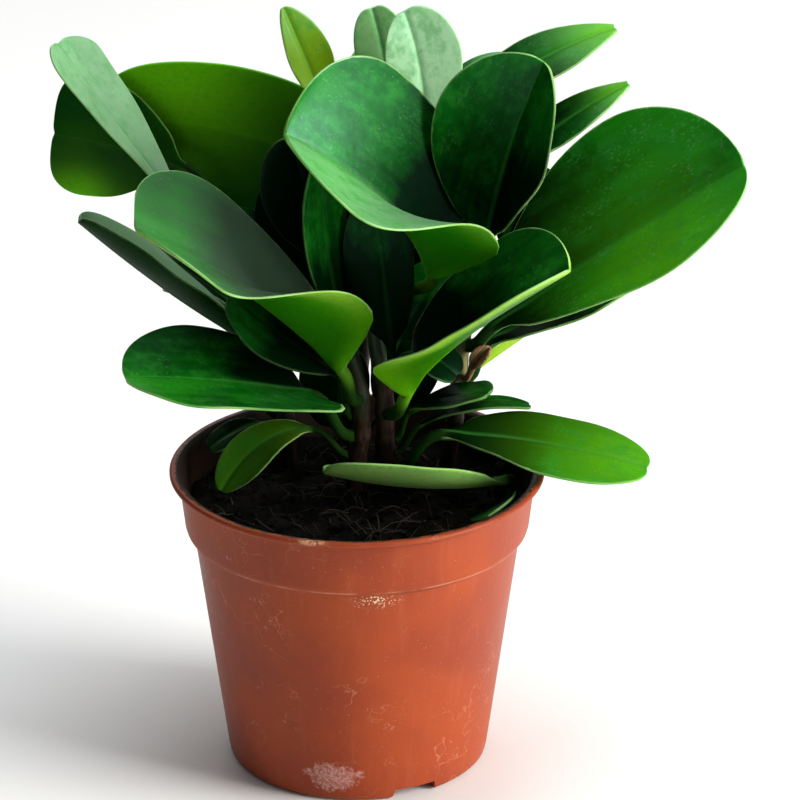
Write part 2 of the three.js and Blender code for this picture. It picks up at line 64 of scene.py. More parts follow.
# Pot, in millimetres
POT_HEIGHT = 98.8
LIP_RADIUS = 60
LIP_HEIGHT = 1.8
COLLAR_TOP_RADIUS = 57
COLLAR_BOTTOM_RADIUS = 55.2
COLLAR_HEIGHT = 20.8
WALL_TOP_RADIUS = 52.4
WALL_BOTTOM_RADIUS = 42.2
FOOT_RADIUS = 40.6
FOOT_WIDTH = 3
WALL = 1.3
FLOOR_LIFT = 3
POT_SIDES = 240
NOTCH_COUNT = 3
NOTCH_WIDTH = 17
NOTCH_HEIGHT = 3.4
FIRST_NOTCH_ANGLE = -64
DRAIN_COUNT = 6
DRAIN_RADIUS = 4
DRAIN_SIDES = 32
DRAIN_CIRCLE_RADIUS = 27
BOSS_RADIUS = 7
SHARP_ANGLE = 38

# Peat, in millimetres
SOIL_LEVEL = 86
SOIL_BUMP = 1.1
SOIL_RELIEF = 0.7
SOIL_GAP = WALL + 0.25
SOIL_RIM = COLLAR_BOTTOM_RADIUS - SOIL_GAP + 0.4
SOIL_SIDES = 180
SOIL_RINGS = 56
CRUMB_COUNT = 520
FIBRE_COUNT = 110
FIBRE_STEP = 1.6
FIBRE_SECTION = (0, 1.26, 2.51, 3.77, 5.03)

# Stems, in millimetres: a scar is where a leaf leaves, and the colour turns green along the colour span
STEM_DEPTH = 14
STEM_TAPER = 0.3
STEM_SIDES = 20
STEM_RING_STEP = 1.6
STEM_LUMPS = 0.03
STEM_TOP = 0.985
STEM_COLOUR_SPAN = 110
SCAR_SWELL = 0.13
SCAR_REACH = 2.4
PALE_REACH = 9

# Leaves, in millimetres, radians and shares of the length or width
BLADE_THICKNESS = 1.5
MARGIN_THICKNESS = 0.8
LOBE_AT = 0.13
BLADE_STARTS_AT = 0.16
PETIOLE_RADIUS = (1.1, 2)
PETIOLE_SHARE = 0.028
PETIOLE_PULL = 0.35
STALK_ROOT = 0.7
STALK_FLARE = 0.35
CUP_AT_RIB = 0.7
CUP_BEND = 0.6
RIB_BLEND = 3.5
HALF_BLEND = 5
BLADE_RINGS = 44
PETIOLE_RINGS = 10
HALF_PLACES = (0, 0.035, 0.08, 0.15, 0.25, 0.37, 0.5, 0.63, 0.75, 0.86, 0.95)
EDGE_STEPS = (0.42, 0.22, 0.08, 0)
UPPER_POINTS = 2 * (len(HALF_PLACES) - 2 + len(EDGE_STEPS)) + 1
GROOVE = 0.35
GROOVE_REACH = 0.9
KEEL = 0.55
TIP_STARTS_AT = 0.86
NOTCH_AT_TIP = 0.7
NOTCH_REACH = 2.2
RIPPLE = 0.4
FINE_RIPPLE = 0.6
RIPPLE_PACES = (6.3 * 1.4, 6.3 * 2.6)
RIPPLE_FULL_WIDTH = 18
TONE_SPREAD = 0.12

# pale is the height where a stem's skin is pale and dry, and how strongly it is
STEMS = {
    "left": dict(root=(-1, 12), radius=3.2, path=(
        (0, 11, 96), (1.5, 9, 108), (1, 6, 122), (-2, 4, 136), (-6, 4, 150), (-10, 7, 168), (-11, 9, 178),
    )),
    "middle": dict(root=(9, 13), radius=3.2, path=(
        (9, 12, 98), (9, 9, 112), (8.5, 6.5, 126), (6, 5.5, 140), (4, 6, 152), (6, 9, 168), (8, 12, 182),
    )),
    "right": dict(root=(29, 24), radius=2.8, pale=(127, 0.8), path=(
        (31, 22, 100), (33, 19, 120), (34, 17, 138), (36, 14, 152), (38, 13, 168), (38, 15, 186),
    )),
    "back": dict(root=(0, 36), radius=3.2, path=(
        (0, 36, 104), (2, 35, 130), (1, 34, 152), (3, 33, 172), (6, 33, 192), (6, 34, 204),
    )),
    "outer": dict(root=(-22, 30), radius=3, path=(
        (-23, 29, 102), (-26, 26, 124), (-31, 23, 146), (-36, 21, 164), (-40, 20, 178),
    )),
    "front": dict(root=(46, 8), radius=2.2, path=((46, 8, 91), (46, 7, 97))),
}

LEAVES = {}
PLAIN = dict(
    opens=0.6, lobes=(0, 0), full=1, taper=0.5, widest=0.6, young=0, pale=0, light=0, half_light=(0, 0),
    margin=1, lime=0, gloss=1, painted_sheen=(0, 0), glow=(0, 0, 1, 0), dusk=(-3, -2, 0),
)
# Leaves hidden deep in the plant: darkest in painted shade, with no pale margin
HIDDEN = dict(light=-1, margin=0, gloss=0.1)


def leaf(name, stem, leaves_at, base, via, tip, face, halves, cup=(20, 10), **own):
    """Adds a leaf, in millimetres and degrees.

    Its stalk leaves the stem at a height, the midrib bends from base past via to tip, and face is where the
    upper side looks. halves are the widths of the left and the right half. cup is how steeply both rise from
    the midrib, at the base and from where the leaf opens, and left or right gives it for one. lobes reach
    back beside the stalk. A small full makes a full base, and a small taper a blunt tip.

    young is towards yellow-green, and pale towards grey-green, partly the leaf's own tone and partly painted
    sheen. light makes it brighter or darker and half_light each half, both as painted light and shade, and
    painted_sheen pales the upper face of each half as painted sheen. margin is how much of the pale margin
    shows, and over 1 it is wider too, as a painted highlight on a lit edge. lime is how yellow-green the
    underside is at the base, and gloss how much the leaf reflects. glow is painted light coming through: the
    share of the length, the distance from the midrib, the reach and the strength. dusk is the shares of the
    length between which the upper face comes out of its painted shade at the base, and the depth of that
    shade.
    """
    given = dict(stem=stem, leaves_at=leaves_at, base=base, via=via, tip=tip, face=face, halves=halves)
    LEAVES[name] = {**PLAIN, "left": cup, "right": cup, **given, **own}


leaf("back_tip", "back", 196, (-9, 33, 206), (-15, 36, 222), (-23, 34, 242), (0.3, -0.8, 0.4), (6, 9),
     taper=0.9, widest=0.5, young=0.6, light=0.2, gloss=0.5)
leaf("back_pale_left", "back", 188, (11, 40, 202), (10, 45, 222), (5, 46, 238), (0, -0.9, 0.3), (9, 9),
     young=0.3, pale=0.45, light=0.8)
leaf("back_pale_right", "back", 180, (22, 30, 200), (22, 33, 224), (15, 30, 242), (0.1, -0.9, 0.4), (11, 14),
     pale=0.9, light=0.6)
leaf("right_top", "right", 184, (32, 26, 206), (54, 32, 226), (83, 44, 231), (-0.2, -0.5, 0.85), (10, 11),
     full=0.8, taper=1.1, widest=0.5, light=-0.1, glow=(0.95, 0, 14, 0.8), gloss=0.3)
leaf("right_high", "right", 176, (48, 20, 192), (64, 25, 207), (87, 34, 216), (-0.3, -0.6, 0.7), (7, 8),
     full=0.8, taper=1.2, widest=0.45, light=-0.1, glow=(0.95, 0, 10, 0.6), gloss=0.3)
leaf("front_upright", "right", 160, (41, 1, 174), (45, -4, 206), (58, -13, 240), (-0.2, -0.9, 0.3), (26, 20),
     left=(22, 16), right=(50, 42), light=-0.3, half_light=(0.35, 0), gloss=0.3)
leaf("front_big", "middle", 158, (24, -4, 166), (15, -14, 195), (-22, -37, 225), (0.1, -0.4, 0.9), (36, 36),
     left=(79, 12), right=(46, 48), opens=0.85, lobes=(5, 0), full=0.3, taper=0.42, widest=0.7, light=0.15,
     half_light=(0.6, 0), lime=0.4, margin=1.2, gloss=0.9, painted_sheen=(0.28, 0), dusk=(0.05, 0.45, 1))
leaf("far_left", "outer", 174, (-55, 8, 184), (-72, 14, 205), (-94, 26, 233), (0.66, -0.3, 0.66), (12, 15),
     widest=0.86, full=1.1, pale=0.5, light=0.1, margin=0.7, gloss=1.2)
leaf("left_shade", "outer", 164, (-54, 35, 188), (-75, 42, 194), (-97, 42, 197), (0, 0.9, 0.3), (25, 25),
     cup=(8, 4), widest=0.75, taper=0.24, light=-0.5, margin=0.3, glow=(0.75, 24, 11, 0.9))
leaf("left_top", "outer", 156, (-6, 29, 187), (-32, 38, 203), (-80, 44, 201), (0.05, 0.9, 0.3), (25, 31),
     cup=(8, 4), full=0.24, taper=0.28, widest=0.4, light=0.05, margin=0.3, glow=(0.7, -17, 29, 1))
leaf("left_cup", "left", 121, (-5, -4, 134), (-36, -12, 170), (-68, -30, 192), (0, -0.2, 1), (32, 31),
     left=(90, 10), right=(12, 28), opens=0.8, lobes=(5, 0), full=0.36, taper=0.42, widest=0.72, light=0.3,
     painted_sheen=(0.12, 0.12), lime=0.85, margin=1.1, gloss=0.9, dusk=(0.5, 0.82, 1))
leaf("left_edge", "outer", 124, (-34, 16, 136), (-58, 16, 150), (-88, 14, 178), (0, 0, 1), (13, 15),
     left=(62, 40), right=(24, 18), light=-0.9, margin=0.4, painted_sheen=(0.75, 0.75), gloss=1.5)
leaf("left_under", "left", 113, (-6, 3, 129), (-20, -2, 140), (-40, 4, 156), (0.2, -0.4, 0.9), (15, 14),
     light=-0.6, margin=0.1, gloss=0.3)
leaf("left_pale", "outer", 104, (-33, 28, 119), (-40, 30, 126), (-53, 32, 127), (0, 0.3, 0.95), (9, 9),
     pale=0.5, light=0.5)
leaf("left_low", "left", 106, (-15, -5, 126), (-46, -12, 135), (-73, -20, 138), (0, -0.26, 0.97), (23, 22),
     cup=(15, 15), lobes=(17, 2), full=0.7, half_light=(0.9, 0), gloss=0.1)
leaf("right_cup", "middle", 115, (16, -4, 126), (25, -15, 147), (66, -35, 180), (-0.3, -0.3, 1), (23, 24),
     left=(30, 30), right=(76, 32), lobes=(0, 6), full=0.4, taper=0.45, widest=0.7, opens=0.5, light=0.1,
     lime=1, gloss=0.4, margin=1.1, dusk=(0.15, 0.5, 1))
leaf("right_big", "right", 134, (43, 10, 142), (74, 2, 170), (121, -8, 204), (-0.25, -0.7, 0.7), (35, 22),
     left=(24, 20), right=(22, 16), full=0.85, widest=0.66, light=0.3, half_light=(0, 0.9), gloss=0.35,
     glow=(0.62, 20, 30, 0.5), dusk=(0.05, 0.35, 1))
leaf("right_under", "right", 122, (41, 18, 133), (62, 20, 144), (104, 22, 168), (-0.2, -0.3, 0.9), (15, 15),
     cup=(15, 10), light=-0.3, half_light=(0, 0.3), gloss=0.15)
# A young leaf, whose full yellow-green is partly its tone and partly painted light coming through it
leaf("right_lime", "right", 106, (36, 26, 120), (44, 32, 124), (59, 42, 130), (-0.4, 0.5, 0.75), (8, 8),
     young=1, light=0.1, gloss=0.2)
leaf("right_hanging", "middle", 127, (16, 8, 134), (25, 5, 136), (32, 3, 128), (0.2, -0.3, 0.9), (9, 9),
     cup=(10, 5), light=-0.7, margin=0.2, gloss=0.2)
leaf("right_small", "middle", 103, (17, 9, 114), (27, 3, 122), (42, -4, 125), (0, 0, 1), (13, 11),
     cup=(10, 3), full=0.6, light=-0.4, margin=0.35, gloss=0.05)
leaf("right_dark", "middle", 98, (20, 11, 108), (37, 12, 120), (56, 15, 113), (0, 0, 1), (4, 7), cup=(10, 3),
     full=0.7, light=-0.5, margin=0.35, gloss=0.05)
leaf("right_low", "middle", 93, (27, -1, 110), (58, 1, 109), (93, -6, 100), (0, -0.2, 0.98), (16, 18),
     cup=(10, 2), full=0.8, light=0.4, glow=(0.85, 0, 26, 0.6), gloss=0.1, dusk=(0.47, 0.56, 0.4))
leaf("front_low", "front", 92, (48, -3, 95), (20, -12, 94), (-11, -16, 104), (0, 0, 1), (15, 10),
     left=(50, 46), right=(8, 4), young=0.7, pale=0.35, light=0.9, gloss=0.2)
leaf("pot_right", "front", 88.5, (49, 0, 88.6), (51, -13, 94), (40, -33, 95), (-0.6, -0.1, 0.8), (3, 10),
     cup=(10, 5), full=0.8, light=-0.2, gloss=0.2)
leaf("pot_left", "left", 98, (-14, 4, 110), (-32, 4, 111), (-44, 4, 88), (0.3, -0.6, 0.7), (7, 7),
     cup=(10, 5), taper=0.8, young=0.2, light=0.3, gloss=0.2)
leaf("pot_dim", "outer", 96, (-30, 24, 103), (-38, 22, 104), (-48, 20, 96), (0, -0.2, 0.9), (6, 6),
     cup=(10, 5), light=-0.5, gloss=0.2)
leaf("centre_strip", "left", 144, (-4, -6, 150), (-13, -14, 182), (-10, -16, 212), (0.78, -0.6, 0.1),
     (11, 11), cup=(10, 5), full=0.6, light=0.1, margin=0.2, gloss=0.2)
leaf("centre_teal", "middle", 128, (13, 15, 136), (20, 15, 149), (28, 13, 163), (0, -0.9, 0.4), (9, 13),
     cup=(10, 5), full=0.7, light=-0.35, margin=0.05, gloss=0.15)
leaf("centre_dark", "middle", 154, (12, 18, 166), (20, 20, 176), (30, 18, 192), (-0.1, -0.8, 0.4), (15, 12),
     cup=(10, 5), light=-0.9, margin=0.05, gloss=0.1)
leaf("centre_shade", "middle", 130, (11, -3, 140), (9, -8, 168), (5, -8, 194), (0, -1, 0.15), (12, 10),
     cup=(10, 5), full=0.8, light=-0.7, margin=0.05, gloss=0.15)
leaf("centre_left", "left", 160, (-8, 0, 170), (-14, -3, 190), (-21, -8, 214), (0.1, -0.95, 0.3), (15, 14),
     full=0.7, light=-0.7, margin=0.1, gloss=0.1)
leaf("centre_rear_left", "back", 136, (-8, 16, 146), (-18, 17, 168), (-24, 16, 192), (0, -0.95, 0.3),
     (13, 13), cup=(10, 5), full=0.7, **HIDDEN)
leaf("centre_rear_right", "back", 140, (12, 29, 154), (24, 28, 168), (34, 25, 186), (0, -0.95, 0.3),
     (17, 17), cup=(10, 5), full=0.7, **HIDDEN)
leaf("centre_low_left", "back", 92, (-4, 31, 97), (-6, 28, 110), (-6, 25, 132), (0, -0.95, 0.3), (13, 10),
     cup=(10, 5), full=0.6, **HIDDEN)
leaf("centre_low_right", "back", 98, (9, 29, 105), (14, 24, 114), (20, 21, 138), (0, -0.95, 0.3), (11, 11),
     cup=(10, 5), full=0.6, **HIDDEN)
leaf("right_sliver", "right", 150, (46, 18, 166), (52, 22, 182), (61, 24, 192), (-0.3, -0.8, 0.4), (9, 9),
     cup=(10, 5))
leaf("rear_low_left", "outer", 126, (-38, 46, 132), (-48, 58, 138), (-56, 70, 132), (0, 0.1, 1), (15, 15))
leaf("rear_low_middle", "back", 104, (0, 48, 114), (0, 66, 126), (4, 92, 118), (0, 0.1, 1), (19, 19),
     full=0.8)
leaf("rear_low_right", "right", 118, (34, 36, 128), (46, 54, 138), (58, 74, 130), (0, 0.1, 1), (18, 18))
leaf("rear_left", "outer", 138, (-34, 36, 146), (-44, 54, 166), (-58, 78, 174), (0.1, -0.1, 1), (20, 20),
     full=0.8)
leaf("rear_middle", "back", 132, (0, 46, 144), (-2, 66, 164), (-8, 96, 168), (0, -0.1, 1), (21, 21),
     full=0.7)
leaf("rear_right", "back", 148, (14, 44, 158), (30, 60, 176), (48, 82, 182), (-0.1, -0.2, 1), (19, 19),
     full=0.8)
leaf("rear_high_left", "back", 168, (-8, 44, 178), (-22, 60, 194), (-40, 74, 198), (0.3, -0.2, 0.9),
     (18, 18), full=0.8)
leaf("rear_high_right", "back", 162, (18, 42, 176), (36, 54, 200), (56, 66, 212), (-0.3, -0.4, 0.9),
     (18, 18))
leaf("rear_upright", "back", 176, (8, 48, 186), (12, 60, 202), (14, 76, 218), (0, -0.6, 0.7), (16, 16))
leaf("side_left", "outer", 130, (-40, 34, 140), (-56, 46, 152), (-76, 56, 152), (0.1, 0, 1), (16, 16))
leaf("side_right", "right", 138, (48, 28, 152), (64, 38, 172), (90, 48, 182), (-0.2, -0.2, 1), (17, 17))

# The withered bract is made as a leaf is
leaf("bract", "right", 122, (37, 13, 127), (39, 11, 131), (43, 10, 136), (-0.3, -0.8, 0.4), (4, 4),
     cup=(60, 50), taper=0.8)
BRACT = LEAVES.pop("bract")


def clamp(x, low=0, high=1):
    return max(low, min(high, x))


def ease(x):
    x = np.clip(x, 0, 1)
    return x * x * (3 - 2 * x)


def unit(v):
    return v / np.linalg.norm(v)


def square_to(direction, along):
    direction = np.asarray(direction, float)
    return unit(direction - along * direction.dot(along))


def polar(radius, angle):
    return radius * cos(angle), radius * sin(angle)


def spun(x, y, angle):
    return x * cos(angle) - y * sin(angle), x * sin(angle) + y * cos(angle)


class Line:
    """A curve sampled closely and asked by share of its length."""

    def __init__(self, points):
        self.points = np.asarray(points, float)
        steps = np.linalg.norm(np.diff(self.points, axis=0), axis=1)
        self.run = np.concatenate([[0], np.cumsum(steps)])
        self.length = self.run[-1]

    def at(self, share):
        run = share * self.length
        return np.array([np.interp(run, self.run, self.points[:, k]) for k in range(3)])

    def along(self, share, step=0.004):
        return unit(self.at(min(1, share + step)) - self.at(max(0, share - step)))

    def share_at(self, height):
        low, high = 0, 1
        for _ in range(24):
            middle = (low + high) / 2
            if self.at(middle)[2] < height:
                low = middle
            else:
                high = middle
        return low


def bezier(*points, count=160):
    t = np.linspace(0, 1, count)[:, None]
    rows = [np.asarray(p, float)[None, :] + 0 * t for p in points]
    while len(rows) > 1:
        rows = [a + (b - a) * t for a, b in zip(rows, rows[1:])]
    return Line(rows[0])


def through(points, count=60):
    """A centripetal Catmull-Rom curve through the points."""
    p = [np.asarray(q, float) for q in points]
    p = [2 * p[0] - p[1]] + p + [2 * p[-1] - p[-2]]
    found = []
    for a, b, c, d in zip(p, p[1:], p[2:], p[3:]):
        da, db, dc = (max(np.linalg.norm(v) ** 0.5, 1e-4) for v in (b - a, c - b, d - c))
        start = ((b - a) / da - (c - a) / (da + db) + (c - b) / db) * db
        end = ((c - b) / db - (d - b) / (db + dc) + (d - c) / dc) * db
        square = 3 * (c - b) - 2 * start - end
        cube = 2 * (b - c) + start + end
        for t in np.linspace(0, 1, count, endpoint=False):
            found.append(b + start * t + square * t**2 + cube * t**3)
    found.append(p[-2])
    return Line(found)


# Mesh helpers


def placed(name, data):
    made = bpy.data.objects.new(name, data)
    bpy.context.scene.collection.objects.link(made)
    return made


def mesh_object(name, points, faces, materials=(), slots=None, floats=None):
    mesh = bpy.data.meshes.new(name)
    mesh.from_pydata([tuple(p) for p in np.asarray(points) * MM], [], faces)
    for material in materials:
        mesh.materials.append(material)
    if slots is not None:
        mesh.polygons.foreach_set("material_index", slots)
    mesh.polygons.foreach_set("use_smooth", [True] * len(mesh.polygons))
    for key, values in (floats or {}).items():
        mesh.attributes.new(key, "FLOAT", "POINT").data.foreach_set("value", np.asarray(values, np.float32))
    mesh.update()
    return placed(name, mesh)


def stand_for(piece, node):
    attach(piece, "root")
    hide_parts(node)


def loft(rings, first, last):
    """Points and faces of a closed skin over equal rings, with a point at each end."""
    sides = len(rings[0])
    points = np.concatenate([np.concatenate(rings), [first, last]])
    end = (len(rings) - 1) * sides
    faces = []
    for row in range(0, end, sides):
        for k in range(sides):
            n = (k + 1) % sides
            faces.append((row + k, row + n, row + sides + n, row + sides + k))
    for k in range(sides):
        n = (k + 1) % sides
        faces.append((len(points) - 2, n, k))
        faces.append((len(points) - 1, end + k, end + n))
    return points, faces


def gather(points, faces, made):
    """Adds the points and faces of one more body to the lists."""
    shift = len(points)
    points.extend(made[0])
    faces.extend(tuple(i + shift for i in face) for face in made[1])


# Shader helpers


class Shade:
    """A procedural material, written as a chain of node calls that return sockets."""

    def __init__(self, name):
        self.material = bpy.data.materials.new(name)
        self.material.use_nodes = True
        self.tree = self.material.node_tree
        self.tree.nodes.clear()

    def put(self, socket, value):
        if isinstance(value, bpy.types.NodeSocket):
            self.tree.links.new(value, socket)
        elif isinstance(value, tuple) and socket.type == "RGBA":
            socket.default_value = (*value, 1)
        else:
            socket.default_value = value

    def node(self, kind, inputs, out=0, **props):
        made = self.tree.nodes.new("ShaderNode" + kind)
        for key, value in props.items():
            setattr(made, key, value)
        for key, value in inputs.items():
            self.put(made.inputs[key], value)
        return made.outputs[out]

    def attribute(self, name):
        return self.node("Attribute", {}, out="Fac", attribute_name=name)

    def leaf(self, name):
        return self.attribute("leaf_" + name)

    def place(self):
        return self.node("TexCoord", {}, out="Object")

    def math(self, operation, a, b=0, c=0):
        return self.node("Math", {0: a, 1: b, 2: c}, operation=operation)

    def plus(self, *values):
        return reduce(lambda a, b: self.math("ADD", a, b), values)

    def times(self, *values):
        return reduce(lambda a, b: self.math("MULTIPLY", a, b), values)

    def larger(self, a, b):
        return self.math("MAXIMUM", a, b)

    def clamped(self, value):
        return self.math("MINIMUM", self.larger(value, 0), 1)

    def off(self, a, b):
        """How far a value lies from another."""
        return self.math("ABSOLUTE", self.math("SUBTRACT", a, b))

    def vectors(self, operation, a, b=(0, 0, 0), out=0):
        return self.node("VectorMath", {0: a, 1: b}, out, operation=operation)

    def length(self, vector):
        return self.vectors("LENGTH", vector, out="Value")

    def height(self, vector):
        return self.node("SeparateXYZ", {0: vector}, out="Z")

    def noise(self, vector, scale, detail=3, rough=0.5):
        """Noise with one scale, or with a scale for each axis."""
        if isinstance(scale, tuple):
            vector, scale = self.vectors("MULTIPLY", vector, scale), 1
        inputs = {"Vector": vector, "Scale": scale, "Detail": detail, "Roughness": rough}
        return self.node("TexNoise", inputs)

    def span(self, value, low, high, to_low=0, to_high=1):
        """Takes the range from low to high to another, with soft ends."""
        inputs = {"Value": value, 1: low, 2: high, 3: to_low, 4: to_high}
        return self.node("MapRange", inputs, interpolation_type="SMOOTHSTEP")

    def vary(self, noise, to_low, to_high):
        """Takes the range that nearly all of a noise lies in to another."""
        return self.span(noise, 0.3, 0.7, to_low, to_high)

    def mix(self, share, a, b):
        return self.node("Mix", {0: share, 6: a, 7: b}, out=2, data_type="RGBA")

    def coats(self, colour, *coats):
        """Lays colours over the first, one after another, each as far as its share says."""
        for share, over in coats:
            colour = self.mix(share, colour, over)
        return colour

    def bump(self, height, strength, distance):
        return self.node("Bump", {"Height": height, "Strength": strength, "Distance": distance})

    def finish(self, colour, roughness, **inputs):
        inputs = {"Base_Color": colour, "Roughness": roughness, **inputs}
        shader = self.tree.nodes.new("ShaderNodeBsdfPrincipled")
        for key, value in inputs.items():
            self.put(shader.inputs[key.replace("_", " ")], value)
        output = self.tree.nodes.new("ShaderNodeOutputMaterial")
        self.tree.links.new(shader.outputs[0], output.inputs["Surface"])
        return self.material


# Colours, in linear light
# DEEP_GREEN, BRIGHT_GREEN, UNDER_BRIGHT and GLOW_GREEN also serve as painted shade, painted light and painted
# glow on the leaves
DEEP_GREEN = (0.0004, 0.008, 0.0015)
LEAF_GREEN = (0.0015, 0.1, 0.003)
BRIGHT_GREEN = (0.02, 0.3, 0.006)
YOUNG_GREEN = (0.22, 0.4, 0.006)
GREY_GREEN = (0.36, 0.62, 0.36)
RIB_GREEN = (0.05, 0.26, 0.04)
MARGIN_GREEN = (0.36, 0.58, 0.22)
UNDER_GREEN = (0.002, 0.06, 0.001)
UNDER_LIME = (0.11, 0.36, 0.002)
UNDER_BRIGHT = (0.01, 0.26, 0.002)
PALE_LIME = (0.32, 0.52, 0.06)
GLOW_GREEN = (0.12, 0.43, 0.003)
MOTTLE_GREEN = (0.02, 0.22, 0.02)
PETIOLE_GREEN = (0.008, 0.03, 0.004)
PETIOLE_LIME = (0.09, 0.26, 0.01)
STEM_BROWN = (0.006, 0.003, 0.002)
STEM_RED = (0.035, 0.011, 0.005)
STEM_GREEN = (0.012, 0.035, 0.004)
STEM_PALE = (0.3, 0.26, 0.1)
BRACT_BROWN = (0.09, 0.04, 0.015)
BRACT_TAN = (0.3, 0.17, 0.07)
POT_RED = (0.25, 0.036, 0.011)
POT_ORANGE = (0.325, 0.052, 0.012)
POT_STREAK = (0.6, 0.22, 0.12)
POT_GRAIN = (0.2, 0.05, 0.025)
POT_WORN = (0.6, 0.27, 0.16)
LIME_WHITE = (0.55, 0.3, 0.26)
CRUST_WHITE = (0.75, 0.58, 0.38)
CHIP_TAN = (0.55, 0.3, 0.16)
INSIDE_SHADE = (0.012, 0.006, 0.004)
PEAT_BLACK = (0.0015, 0.0013, 0.001)
PEAT_BROWN = (0.005, 0.004, 0.003)
PEAT_GREY = (0.06, 0.045, 0.035)
FIBRE_DARK = (0.004, 0.0025, 0.0015)
FIBRE_BROWN = (0.034, 0.022, 0.014)
FLOOR_GREY = (0.86, 0.86, 0.855)
FLOOR_WHITE = (0.88, 0.88, 0.875)


def leaf_place(s):
    """The place on a leaf in millimetres, along it and across it, with a third number for each leaf."""
    seed = s.times(s.leaf("seed"), 40)
    inputs = {0: s.leaf("along"), 1: s.leaf("arc"), 2: seed}
    return s.node("CombineXYZ", inputs)


def leaf_marks(s, colour, rib_colour, rib_strength, margin_strength):
    """Adds the midrib, the pale margin and the stalk to a face's colour."""
    share = s.leaf("share")
    margin = s.leaf("margin")
    off_rib = s.math("ABSOLUTE", s.leaf("arc"))
    rib = s.span(s.math("DIVIDE", off_rib, s.span(share, 0, 1, 1.6, 0.5)), 0.1, 1, rib_strength, 0)
    # Over 1, margin widens the pale margin as a painted highlight on a lit edge
    reach = s.times(s.vary(s.noise(s.place(), 300, 2), 0.3, 0.65), s.larger(margin, 1))
    edge = s.span(s.math("DIVIDE", s.leaf("edge"), reach), 0.4, 1, 1, 0)
    broken = s.span(s.noise(s.place(), 45, 2), 0.4, 0.6, 0.45, 1)
    lime = s.times(s.leaf("lime"), s.span(share, -0.55, 0))
    return s.coats(
        colour,
        (s.times(rib, s.larger(margin, 0.15)), rib_colour),
        (s.times(edge, s.times(margin, broken, margin_strength)), MARGIN_GREEN),
        (s.span(share, -0.02, 0.05, 1, 0), s.mix(lime, PETIOLE_GREEN, PETIOLE_LIME)),
    )


def leaf_upper():
    s = Shade("leaf_upper")
    where = leaf_place(s)
    share = s.leaf("share")
    broad = s.noise(where, (0.035, 0.05, 1), 1)
    streaks = s.noise(where, (0.02, 0.28, 1), 2)
    mottle = s.noise(where, (0.35, 0.4, 1), 3, 0.55)
    clouds = s.noise(where, (0.13, 0.17, 1), 4, 0.65)
    flecks = s.noise(where, (0.8, 1.3, 1), 3, 0.6)
    patches = s.noise(where, (0.09, 0.12, 2), 2)
    # Painted light and shade: the face darkens towards the base and under dusk, and light brightens or
    # darkens it
    amount = s.plus(
        s.vary(broad, 0.1, 0.6),
        s.span(share, 0.15, 0.9, -0.5, 0.45),
        s.times(s.leaf("light"), 0.9),
        s.span(streaks, 0.35, 0.65, -0.1, 0.1),
        s.times(s.leaf("dusk"), -1.1),
    )
    lit = s.clamped(amount)
    # The most lit places turn bright green as painted light, glow is painted light coming through, and pale
    # and painted sheen turn it grey-green
    colour = s.coats(
        DEEP_GREEN,
        (lit, LEAF_GREEN),
        (s.clamped(s.math("SUBTRACT", amount, 0.9)), BRIGHT_GREEN),
        (s.leaf("young"), YOUNG_GREEN),
        (s.leaf("glow"), GLOW_GREEN),
        (s.plus(s.leaf("pale"), s.leaf("painted_sheen")), GREY_GREEN),
        (s.times(s.span(mottle, 0.45, 0.75, 0, 0.35), lit), MOTTLE_GREEN),
        (s.times(s.span(clouds, 0.45, 0.7, 0, 0.5), lit), MOTTLE_GREEN),
        (s.times(s.span(flecks, 0.54, 0.72, 0, 0.15), s.span(patches, 0.4, 0.64), lit), GREY_GREEN),
    )
    along = s.times(s.leaf("along"), 0.75)
    across = s.times(s.math("ABSOLUTE", s.leaf("arc")), -0.6)
    veins = s.math("SINE", s.plus(along, across))
    height = s.plus(s.times(mottle, 0.5), s.times(veins, 0.05))
    return s.finish(
        leaf_marks(s, colour, RIB_GREEN, 0.35, 0.6),
        s.vary(s.noise(where, (0.3, 0.35, 1), 2), 0.3, 0.4),
        Normal=s.bump(height, 0.2, 0.0005),
        Subsurface_Weight=0.15, Subsurface_Radius=(0.2, 1, 0.1), Subsurface_Scale=0.0015,
        Specular_IOR_Level=s.times(s.leaf("gloss"), s.span(share, 0.4, 0.95, 0.08, 0.65)),
        Specular_Tint=(0.42, 0.95, 0.75),
    )


